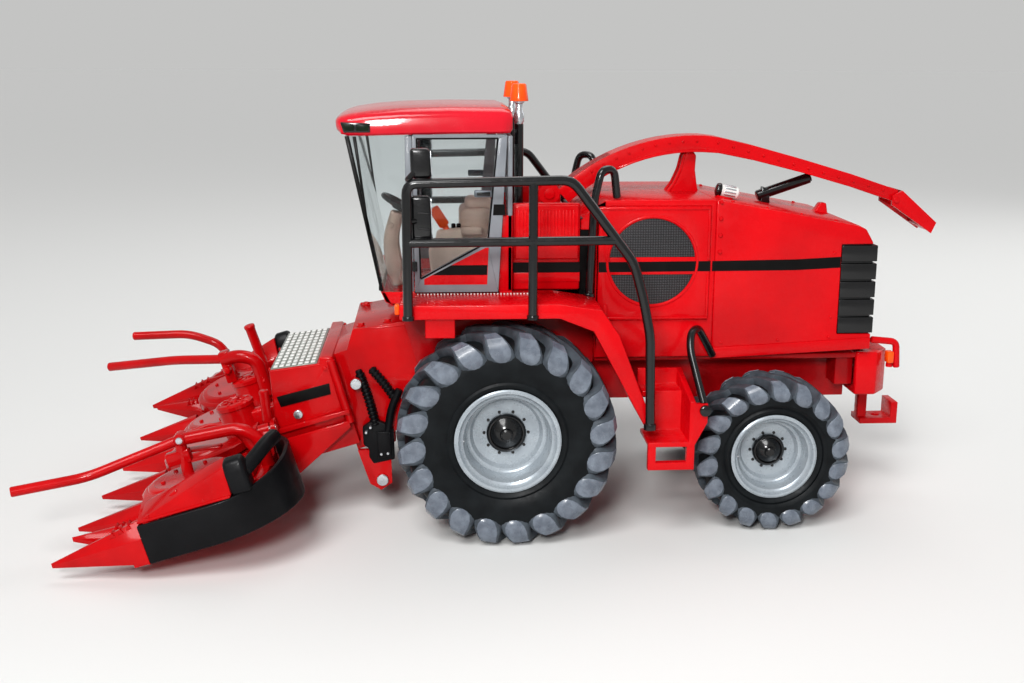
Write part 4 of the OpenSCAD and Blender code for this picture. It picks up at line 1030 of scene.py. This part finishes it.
class HARVESTER_OT_rails(bpy.types.Operator):
    """Railings, mirrors, grab handles and lamp bars"""

    bl_idname = "harvester.rails"
    bl_label = "Rails"

    def execute(self, context):
        for side, key, bend in ((1, "l", -15.4), (-1, "r", -11.0)):
            y = side * 45
            rail = Form("abs_black", "plated_steel")
            route = [
                (24.8, y, 61), (24.8, y, 94.2), (bend, y, 95.0), (bend - 15.6, y, 74.6), (-33.7, y, 65),
                (-35.6, y, 56), (-36.2, y, 33),
            ]
            rail.tube(route, 2.45, turn=2.6, sides=20)
            rail.tube([(24.8, y, 79.8), (bend - 11.3, y, 80.2)], 2.3, sides=18)
            rail.tube([(-6, y, 61), (-6, y, 94.8)], 2.3, sides=18)
            rail.knob((24.8, y, 60.6), 1.5, 1.2)
            rail.knob((-6, y, 60.6), 1.5, 1.2)
            rail.knob((-36.2, y, 31.6), 1.6, 1.8)
            # Upper and lower mirror with their glass
            for low, high in ((95.2, 102.6), (79.6, 91.2)):
                rail.prism(
                    [(18.7, low), (23.7, low), (23.9, high), (19.1, high)],
                    side * 41.6, side * 44.0, soft=0.9,
                    levels=4,
                )
                back = [(18.5, low + 0.7), (18.7, low + 0.7), (19.0, high - 0.7), (18.8, high - 0.7)]
                rail.prism(back, side * 41.9, side * 43.7, finish="plated_steel", soft=0.05)
            # Brackets and clips of the mirrors
            rail.tube([(24.6, y, 95), (23, side * 43.4, 96.6)], 1.5, sides=12)
            rail.tube([(24.6, y, 85), (22.6, side * 43.4, 85)], 1.5, sides=12)
            for z in (83.2, 87.0):
                rail.tube([(22.2, side * 44.0, z), (19.4, side * 44.05, z - 0.1)], 0.6, sides=8)
            rail.piece("railing_" + key + "_finished", "machine", "black_plastic", "railing_" + key)
        # Row of small studs along the door sills
        sill = Form("tread_white")
        for side in SIDES:
            dot = Form("tread_white")
            dot.box((22.4, side * 29.6 - 0.18, 63.9), (22.75, side * 29.6 + 0.18, 64.3), soft=0)
            sill.row(dot, count=34, step=(-0.86, 0, 0))
        sill.piece("sill_studs", "machine", "red_plastic")
        # Handles beside the louvres, and the one over the steps
        grips = Form("abs_black")
        for side in SIDES:
            y = side * 25.3
            grips.tube(
                [
                    (-22.4, y, 62.6), (-23.4, y, 88), (-25.2, y - side * 0.4, 95.6),
                    (-28.8, y - side * 2.8, 95.6), (-29.8, y - side * 3.4, 88),
                ],
                2.1, turn=3.4, sides=18,
            )
            grips.knob((-22.4, y, 62.5), 1.5, 0.9)
        grips.tube(
            [
                (-50.2, 43.4, 37.6), (-47.7, 36, 50.2), (-48.4, 33, 54.0), (-50.8, 30, 54.8),
                (-54.1, 27, 49.5), (-56.1, 25.2, 46),
            ],
            2.1, turn=2.6, sides=18,
        )
        grips.knob((-50.4, 44.4, 36.2), 1.5, 1.1, axis=(0, 1, 0), dome=0.5)
        grips.piece("grab_handles_finished", "machine", "black_plastic", "grab_handles")
        bars = Form("enamel_red")
        for side in SIDES:
            y = side * 21
            bars.tube([(-100.8, y, 48.9), (-107.9, y, 48.2), (-108.4, y, 41)], 1.9, turn=1.6, sides=16)
            bars.knob((-106.4, y, 41.2), 0.9, 1.3)
        bars.piece("lamp_bars_finished", "machine", "red_plastic", "lamp_bars")
        return {"FINISHED"}


class HARVESTER_OT_spout(bpy.types.Operator):
    """Channel of the spout with its flanges and rivets, and the flap's pins"""

    bl_idname = "harvester.spout"
    bl_label = "Spout details"

    def execute(self, context):
        studs = Form("enamel_red")
        # Middle and radius of the arc over the hood
        cx, cz, r = -54.1, 47, 56.1
        # Top edge and depth of the channel from its end to the crest, then down the arc to the turret
        rows = [(-111.6, 87.9, 3.7), (-98, 92.4, 3.7), (-84, 96.5, 3.8), (-70, 100.3, 4.1), (-60, 102.6, 4.4)]
        upper = [(x, z) for x, z, d in rows]
        lower = [(x - 0.3, z - d) for x, z, d in rows]
        deep = [(x - 0.1, z - 1.0) for x, z, d in rows]
        for angle in range(92, 46, -3):
            a = math.radians(angle)
            for line, radius in ((upper, r), (lower, r - 4.6), (deep, r - 1.1)):
                line.append((cx + radius * math.cos(a), cz + radius * math.sin(a)))
        for side in SIDES:
            studs.prism(upper + lower[::-1], side * 3.5, side * 4.5, soft=0.22, sharp=40)
            edge = [(x, z + 0.75) for x, z in lower[:-6]]
            studs.prism(lower[:-6] + edge[::-1], side * 3.3, side * 4.75, soft=0.18, sharp=40)
        studs.prism(upper + deep[::-1], -4.0, 4.0, soft=0, sharp=40)
        studs.prism(upper[-7:] + lower[-7:][::-1], -3.8, 3.8, soft=0, sharp=40)
        for side in SIDES:
            for angle in range(58, 93, 4):
                a = math.radians(angle)
                at = (cx + (r - 1.5) * math.cos(a), 4.5, cz + (r - 1.5) * math.sin(a))
                studs.stud(side, at, 0.42, 0.3, dome=0.7, steps=8)
            one = Form("enamel_red")
            one.stud(side, (-60, 4.5, 101.2), 0.42, 0.3, dome=0.7, steps=8)
            studs.row(one, count=12, step=(-4.3, 0, -1.2))
            studs.stud(side, (-111.0, 4.4, 85.2), 0.7, 1.0)
            studs.stud(side, (SPOUT_PIN[0], 4.4, SPOUT_PIN[1]), 2.9, 0.12, steps=32)
            studs.stud(side, (SPOUT_PIN[0], 4.5, SPOUT_PIN[1]), 1.5, 0.7)
        studs.piece("spout_channel", "spout", "red_plastic", "spout")
        flap = Form("enamel_red")
        for side in SIDES:
            flap.stud(side, (-111.0, 5.6, 85.2), 0.9, 0.35, dome=0.6)
        flap.prism([(-122.4, 78.4), (-121.5, 76.2), (-118.4, 78.0), (-119.2, 80.2)], -4.9, 4.9, soft=0.25)
        flap.piece("flap_pins", "spout_flap", "red_plastic")
        return {"FINISHED"}


def rotor_form(y, at, teeth):
    """A rotor: core drum with two toothed discs on its pin."""
    form = Form("abs_red", "enamel_red_painted_shade", base=at @ Matrix.Translation((-2.4, y, 0)))
    for low, r in ((2.2, 13.1), (7.6, 12.8)):
        form.lathe([(0, low), (r - 1.9, low), (r - 1.9, low + 1.2), (0, low + 1.2)], 64)
        tooth = Form("abs_red")
        outline = [(r - 2.1, -1.5), (r - 0.2, 0.6), (r, 1.1), (r - 0.7, 1.3), (r - 2.1, 1.5)]
        tooth.prism(outline, low + 0.05, low + 1.15, along="z", soft=0.1, levels=1)
        form.ring(tooth, teeth)
    # Core drum and its ribs in the enamel darkened as painted shade
    form.lathe(
        [(0, 3.4), (10.4, 3.4), (10.7, 3.7), (10.7, 7.3), (10.4, 7.6), (0, 7.6)],
        64, finish="enamel_red_painted_shade",
    )
    rib = Form("enamel_red_painted_shade")
    rib.box((10.3, -0.4, 3.4), (11.4, 0.4, 7.6), soft=0.12)
    form.ring(rib, 12, 0.1)
    form.lathe([(0, 0.2), (1.2, 0.2), (1.2, 11.2), (0, 11.2)], 20)
    return form


def cover(form, y):
    """Round cover plate over a rotor: rim, polished flat top and small bolts."""
    centre = Matrix.Translation((-2.4, y, 0))
    form.lathe(
        [
            (0, 9.6), (12.4, 9.6), (12.5, 9.9), (12.4, 11.7), (11.9, 12.2), (11.3, 12.35), (10.8, 12.3),
            (10.5, 12.9), (10.2, 13.1), (9.2, 13.2), (0, 13.2),
        ],
        64, at=centre,
    )
    form.lathe([(0, 13.1), (9.0, 13.1), (9.0, 13.24), (0, 13.24)], 64, at=centre, finish="abs_red_polished")
    bolt = Form("abs_red")
    bolt.knob((6.6, 0, 13.2), 0.6, 0.6, dome=0.5, steps=6)
    form.ring(bolt, 5, 0.4, at=centre)


def divider(form, x, y, w, h, tip, crest=0.0):
    """Dividing point: a ridged wedge that runs from a base to its tip."""
    tx, ty, tz = tip
    rings = []
    for t in (0.0, 0.35, 0.7, 0.96):
        s = 1 - t * 0.97
        px, py = x + (tx - x) * t, y + (ty - y) * t
        foot, top = tz * t * 0.92, h * s + tz * t
        brow = foot + (top - foot) * 0.62
        half = [(w / 2 * s, foot), (w / 2 * s, brow), (w * 0.12 * s, top)]
        near, far = ([(px, py + side * out, z) for out, z in half] for side in SIDES)
        rings.append([far[0], *near, far[2], far[1]])
    form.loft(rings, soft=0.25, sharp=15)
    # Serrated crest near the root, where the point has one
    for t in (0.1, 0.19, 0.28) if crest else ():
        px, py, top = x + (tx - x) * t, y + (ty - y) * t, h * (1 - t * 0.97) + tz * t
        tooth = [(px - 0.8, top - 0.9), (px + 0.9, top - 1.1), (px + 0.1, top + crest)]
        form.prism(tooth, py - w * 0.2, py + w * 0.2, soft=0.15)


class HARVESTER_OT_rotors(bpy.types.Operator):
    """Rotors with toothed discs"""

    bl_idname = "harvester.rotors"
    bl_label = "Rotors"

    def execute(self, context):
        teeth = context.scene.harvester_header.rotor_teeth
        for name, y, at in (
            ("rotor_1", 40.5, HEADER),
            ("rotor_2", 13.5, HEADER),
            ("rotor_3", -13.5, HEADER),
            ("rotor_4", 40.5, WINGS["r"]),
        ):
            rotor_form(y, at, teeth).piece(name + "_toothed", name, "red_plastic", name)
        return {"FINISHED"}


class HARVESTER_OT_header(bpy.types.Operator):
    """Centre of the header: box, treadplate, gearboxes, covers and middle points"""

    bl_idname = "harvester.header"
    bl_label = "Header centre"

    def execute(self, context):
        bar_d = context.scene.harvester_header.bar_diameter / MM
        finishes = (
            "abs_red", "abs_red_polished", "treadplate_silver", "tread_white", "ink_black", "plated_steel",
        )
        form = Form(*finishes, base=HEADER)
        box = [
            (-42, 8), (-42.2, 25.4), (-44.0, 26.6), (-43.8, 28.2), (-40.4, 28.9), (-40.0, 27.2),
            (-26.7, 29.2), (-22.6, 10), (-24, 8),
        ]
        form.prism(box, -22.5, 22.5, soft=0.5, levels=3)
        form.box((-24, -26.6, 0), (11.6, 26.6, 1.4), soft=0.2)
        form.box((-24, -24, 1.4), (-22.6, 24, 10), soft=0.2)
        # Treadplate on the box, with rows of raised dashes
        plate = Matrix.Translation((-27, 0, 29.15)) @ Matrix.Rotation(math.radians(-8.6), 4, "Y")
        form.box((-12.4, -21.6, -0.1), (0, 21.6, 0.22), at=plate, finish="treadplate_silver", soft=0.08)
        dash = Form("tread_white")
        dash.box((-11.9, -20.9, 0.15), (-10.7, -19.0, 0.5), soft=0.12, levels=1)
        form.row(dash, at=plate, count=7, step=(1.68, 0, 0), columns=12, column_step=(0, 3.62, 0))
        for side in SIDES:
            inner = side * 13.5
            form.prism(
                [(-22.6, 0), (-22.6, 10.3), (-43, 10.2), (-43, 8.4), (-26.3, 0)],
                side * 22.5, side * 24, soft=0.25,
            )
            form.prism(
                [(-24.2, 13.6), (-24.4, 12.2), (-44.0, 12.2), (-44.0, 13.4)],
                side * 22.4, side * 24.6, soft=0.2,
            )
            cover(form, inner)
            tower = Matrix.Translation((-13, inner, 0))
            form.lathe(
                [
                    (0, 10.6), (5.4, 10.6), (5.4, 12.2), (4.9, 13), (4.9, 20.2), (5.2, 20.4), (5.2, 21.4),
                    (4.7, 21.9), (3.6, 22.1), (3.4, 21.8), (1.4, 21.8), (1.2, 22.3), (0, 22.4),
                ],
                40, at=tower,
            )
            rib = Form("abs_red")
            rib.box((1.6, -0.4, 21.7), (4.4, 0.4, 22.2), soft=0.15)
            form.ring(rib, 6, 0.3, at=tower)
            form.box((-25, inner - side * 2.6, 13.6), (-13, inner + side * 2.6, 18.4), soft=0.8, levels=3)
            # Corner post with its collars, and the hinge lugs of the wing
            form.tube(
                [(-21.3, side * 23.5, 1.4), (-21.5, side * 23.5, 12.6), (-23.9, side * 23.5, 24.8)],
                2.7, sides=20,
            )
            form.knob((-21.4, side * 23.3, 6.0), 1.9, 1.5, dome=0.2)
            for x in (-24.6, -19.8):
                form.box((x, side * 22.5, 13.2), (x + 1.4, side * 27, 16.8), soft=0.3)
                form.knob((x, side * 27, 15), 1.8, 1.4, axis=(1, 0, 0), dome=0.15)
            form.knob((-24.7, side * 27, 15), 0.9, 6.5, axis=(1, 0, 0), dome=0.1, finish="plated_steel")
            divider(form, 11.6, side * 12, 9, 8, (31.6, side * 12, 5.9))
            # Plain black plate and screw on the box's end, pin and post behind
            form.prism(
                [(-26.6, 18.8), (-40.4, 18.4), (-40.9, 21.4), (-26.4, 21.8)], side * 22.45, side * 22.75,
                finish="ink_black", soft=0.08,
            )
            form.stud(side, (-30.4, 22.5, 15.6), 1.25, 0.9, finish="plated_steel", steps=20)
            form.stud(side, (-41, 22.4, 25.6), 0.6, 0.6)
            form.tube([(-43.2, side * 23, 9.4), (-43.2, side * 23, 27.4)], 2.2, sides=16)
        form.box((-43.6, -21, 2.6), (-30, 21, 8.6), soft=0.3)
        for y in (-18, -6, 6, 18):
            form.knob((-23.9, y, 26.0), 0.6, 0.5, axis=(0.98, 0, 0.2), dome=0.5)
        # Middle push bar in its two lengths, with its clamp
        form.tube(
            [(-17.6, -9.6, 15.5), (-17.8, -9.6, 26.8), (-13.4, -9.6, 29.4), (-7.8, -12, 29.0)],
            bar_d + 1.3, turn=4,
            sides=20,
        )
        form.tube([(-8.8, -11.6, 29.1), (7.1, -20, 31.4), (30.6, -33, 32.8)], bar_d + 0.2, turn=4, sides=20)
        form.knob((-9, -11.4, 26.2), 1.1, 3.6, axis=(0, 1, 0))
        form.box((-10.4, -14.4, 22.0), (-7.4, -10.2, 31.4), soft=0.4)
        form.piece("header_centre_finished", "feeder", "red_plastic", "header_centre")
        return {"FINISHED"}


class HARVESTER_OT_wings(bpy.types.Operator):
    """Wings with their covers, points, decks, push bars and black shields"""

    bl_idname = "harvester.wings"
    bl_label = "Wings"

    def execute(self, context):
        bar_d = context.scene.harvester_header.bar_diameter / MM
        for key, at in WINGS.items():
            form = Form("abs_red", "abs_red_polished", "plated_steel", "nylon_black", base=at)
            bend = [math.radians(a) for a in range(96, 229, 6)]
            floor = [(11.6, 27.4), (11.6, 61.2), (-8.7, 61.2)]
            floor += [(CURL[0] + 19.3 * math.cos(a), CURL[1] + 19.3 * math.sin(a)) for a in bend]
            floor.append((-21.9, 27.4))
            form.prism(floor, 0, 1.4, along="z", soft=0.2, sharp=40)
            form.box((-23, 30, 1.4), (-16.2, 50, 9.6), soft=0.4)
            form.box((-20, 34, 9.6), (-10, 48, 12), soft=0.5)
            cover(form, 40.5)
            form.box((-19, 52, 1.4), (-16.2, 57.4, 11), soft=0.3)
            # Sloped deck between cover and shield, with its raised rear corner
            form.prism(
                [(50.4, 10.1), (61.4, 10.1), (61.4, 10.7), (50.4, 13.2)], -15.9, 7.4, along="x", soft=0.25,
            )
            deck = [
                (-16.2, 51.6, 12.6), (-16.2, 61.0, 10.4), (7.2, 61.0, 10.4), (7.2, 51.6, 12.4),
                (-16.2, 55.2, 18.9), (-16.2, 59.4, 17.6), (6.4, 60.4, 10.9), (5.8, 53.4, 12.9),
            ]
            form.loft([deck[:4], deck[4:]], soft=0.35)
            form.prism([(-4.4, 10.4), (-0.6, 10.4), (-1.2, 14.2), (-3.2, 14.9)], 56.4, 58.0, soft=0.4)
            for x in (-9.4, 4.6):
                form.knob((x, 60.4, 10.9), 0.5, 0.7)
            # Black block behind the deck
            form.prism(
                [(53.8, 10.1), (61.0, 10.1), (61.2, 15.6), (60.2, 18.6), (57.0, 19.2), (54.8, 17)],
                -21.2, -16.1,
                along="x", finish="nylon_black", soft=1.1, levels=4,
            )
            form.tube(
                [(-19.8, 57.2, 14.4), (-22.6, 53.4, 15.8), (-25.6, 48.6, 17.4), (-27.4, 44.6, 17.6)],
                3.8, turn=3,
                sides=16, finish="nylon_black",
            )
            divider(form, 11.6, 36, 9, 8, (31.6, 36, 5.9))
            divider(form, 11.4, 49.5, 7, 7.4, (27.6, 51.6, 8.6), crest=0.7)
            divider(form, 7.4, 59, 6.8, 10.6, (31.6, 60, 5.9), crest=0.5)
            form.box((7.4, 55.6, 0), (11.4, 62, 1.4), soft=0.2)
            # Hinge arm round its pin
            pin = Matrix.Translation((-21.5, 27, 15)) @ Matrix.Rotation(math.pi / 2, 4, "Y")
            form.lathe([(0.96, -1.5), (1.8, -1.5), (1.8, 1.5), (0.96, 1.5)], 24, at=pin)
            form.prism(
                [(28.4, 15.8), (28.0, 13.2), (30, 6), (32, 6), (32, 9)], -23, -20, along="x", soft=0.25,
            )
            # Push bars: the left one in two lengths on a braced joint, the right one single
            if key == "l":
                joint = (-2.9, 40, 22.2)
                form.tube(
                    [(-22.4, 40, 9), (-22.6, 40, 16.6), (-18.6, 40, 20.8), (-10, 40, 21.6), joint],
                    bar_d + 0.7,
                    turn=3.6, sides=20,
                )
                form.tube([joint, (20.7, 44, 20.5), (37.7, 50, 23.8)], bar_d + 0.1, turn=4, sides=20)
                form.tube(
                    [joint, (-9.6, 31.6, 21.2), (-15.6, 29.2, 17.4), (-18.8, 30.6, 9.4)],
                    bar_d, turn=3, sides=18,
                )
                form.knob((-3.4, 38.2, 22.4), 1.7, 3.8, axis=(0, 1, 0))
                form.knob((-3.4, 41.9, 22.4), 0.9, 0.4, axis=(0, 1, 0), finish="plated_steel")
                form.tube([(-2.4, 40.5, 12.8), (-2.9, 40, 21.6)], 3.0, sides=16)
                form.box((-4.6, 38.6, 16.2), (1.6, 41.6, 19.6), soft=0.4)
                form.prism([(-11.6, 16.2), (0.2, 18.2), (0.2, 18.9), (-11.6, 16.9)], 34.4, 37.6, soft=0.2)
            else:
                form.tube(
                    [(-2.4, 44, 13), (-2.4, 45, 25), (6.7, 47, 31), (24.4, 50, 34.5)],
                    bar_d + 0.1, turn=4, sides=20,
                )
                form.tube([(-14.2, 36, 12), (-14.2, 36, 31.4)], 3.0, sides=18)
                form.knob((-14.2, 36, 31.0), 1.7, 1.0)
            form.piece("wing_" + key + "_finished", "wing_" + key, "red_plastic", "wing_" + key)

            guard = Form("nylon_black", base=at)
            # Sections of the wall, whose height rises round the curl
            rings = [[(x, 62.4, 0), (x, 62.4, 10), (x, 61.2, 10), (x, 61.2, 0)] for x in (7.4, -2)]
            for k in range(31):
                a = math.radians(90 + 132 * k / 30)
                top = 10 + 3.6 * min(1, max(0, (k - 4) / 16)) ** 1.4
                section = ((20.5, 0), (20.5, top), (19.3, top), (19.3, 0))
                rings.append([(CURL[0] + r * math.cos(a), CURL[1] + r * math.sin(a), z) for r, z in section])
            guard.loft(rings, soft=0.3, levels=3, sharp=50)
            guard.piece("shield_" + key + "_finished", "wing_" + key, "black_plastic", "shield_" + key)
        return {"FINISHED"}


class HARVESTER_OT_feeder(bpy.types.Operator):
    """Bolts, pins and ribbed hoses of the feeder"""

    bl_idname = "harvester.feeder"
    bl_label = "Feeder details"

    def execute(self, context):
        form = Form("nylon_black", "plated_steel")
        for side in SIDES:
            outline = [
                (38.2, 25.6), (36.2, 27.0), (34.0, 27.4), (31.6, 26.4), (29.8, 25.0), (29.6, 16.4),
                (35.4, 15.2), (36.6, 17.2), (36.6, 19.6), (38.0, 20.6),
            ]
            form.prism(outline, side * 18, side * 20.2, soft=0.35)
            form.prism(
                [(30.4, 17.6), (34.0, 17.0), (34.4, 24.6), (30.6, 24.6)], side * 20, side * 21, soft=0.3,
            )
            # Bolts of the bracket, the rod on it, two hoses, and the pins at their ends
            for x, z in ((37.2, 24.4), (36.0, 25.8), (31.4, 18.4), (33.2, 18.2)):
                form.stud(side, (x, 20, z), 0.45, 1.3, finish="plated_steel", steps=10)
            form.tube(
                [(31.4, side * 19.6, 24), (30.3, side * 20, 31), (28.0, side * 20, 36.2)],
                2.2, turn=4, sides=14,
            )
            for route in ([(34.6, 26), (36.6, 34.6), (39.0, 41.6)], [(29.6, 34), (32.2, 38), (35.6, 42.0)]):
                path = filleted([(x, side * 19.5, z) for x, z in route], 4, 6)
                form.tube(path, 1.9, sides=14)
                # Ribs along the hose, and their distance from each other
                pitch = 1.1
                total = sum((b - a).length for a, b in zip(path, path[1:]))
                for k in range(int(total / pitch)):
                    left = pitch * k + 0.6
                    for a, b in zip(path, path[1:]):
                        step = (b - a).length
                        if left <= step:
                            spot, ahead = a + (b - a) * left / step, (b - a).normalized()
                            form.knob(spot - ahead * 0.3, 1.3, 0.6, axis=ahead, dome=0.35, steps=14)
                            break
                        left -= step
            form.stud(side, (39.6, 21.2, 38.2), 1.5, 0.7, finish="plated_steel", steps=20)
            form.stud(side, (33, 20.7, 10.8), 1.6, 0.7, finish="plated_steel", steps=20)
        form.piece("hoses_and_pins", "feeder", "black_plastic", "feeder_hoses")
        bolts = Form("abs_red")
        for side in SIDES:
            for x, y in ((38.2, 14.4), (31.0, 15.2)):
                # Height of the feeder's sloping top there
                z = 54.4 - (x - 27.6) / 12.8 * 2.1
                bolts.knob((x, side * y, z - 0.05), 0.95, 1.0, dome=0.4, steps=6)
                bolts.knob((x, side * y, z - 0.05), 1.3, 0.35, dome=0.4, steps=16)
            bolts.prism(
                [(22.4, 53.3), (40.2, 52.2), (40.2, 52.7), (22.4, 53.9)], side * 16.9, side * 18.05, soft=0.2,
            )
        bolts.piece("feeder_bolts", "feeder", "red_plastic")
        return {"FINISHED"}


PANEL_GROUPS = ("harvester_tyres", "harvester_hood", "harvester_header")
OPERATORS = (
    HARVESTER_OT_stage,
    HARVESTER_OT_castings,
    HARVESTER_OT_tyres,
    HARVESTER_OT_rims,
    HARVESTER_OT_hood,
    HARVESTER_OT_cab,
    HARVESTER_OT_rails,
    HARVESTER_OT_spout,
    HARVESTER_OT_rotors,
    HARVESTER_OT_header,
    HARVESTER_OT_wings,
    HARVESTER_OT_feeder,
)


class HARVESTER_PT_panel(bpy.types.Panel):
    """Pieces of the harvester"""

    bl_label = "Harvester"
    bl_idname = "HARVESTER_PT_panel"
    bl_space_type = "VIEW_3D"
    bl_region_type = "UI"
    bl_category = "Harvester"

    def draw(self, context):
        for name in PANEL_GROUPS:
            settings = getattr(context.scene, name)
            for key in settings.__annotations__:
                self.layout.prop(settings, key)
        for operator in OPERATORS:
            self.layout.operator(operator.bl_idname)


CLASSES = (TyreSettings, HeaderSettings, HoodSettings, *OPERATORS, HARVESTER_PT_panel)


def register():
    for cls in CLASSES:
        bpy.utils.register_class(cls)
    bpy.types.Scene.harvester_tyres = bpy.props.PointerProperty(type=TyreSettings)
    bpy.types.Scene.harvester_header = bpy.props.PointerProperty(type=HeaderSettings)
    bpy.types.Scene.harvester_hood = bpy.props.PointerProperty(type=HoodSettings)


def unregister():
    for name in PANEL_GROUPS:
        delattr(bpy.types.Scene, name)
    for cls in reversed(CLASSES):
        bpy.utils.unregister_class(cls)


def main():
    register()
    for operator in OPERATORS:
        family, name = operator.bl_idname.split(".")
        getattr(getattr(bpy.ops, family), name)()


if __name__ == "__main__":
    main()
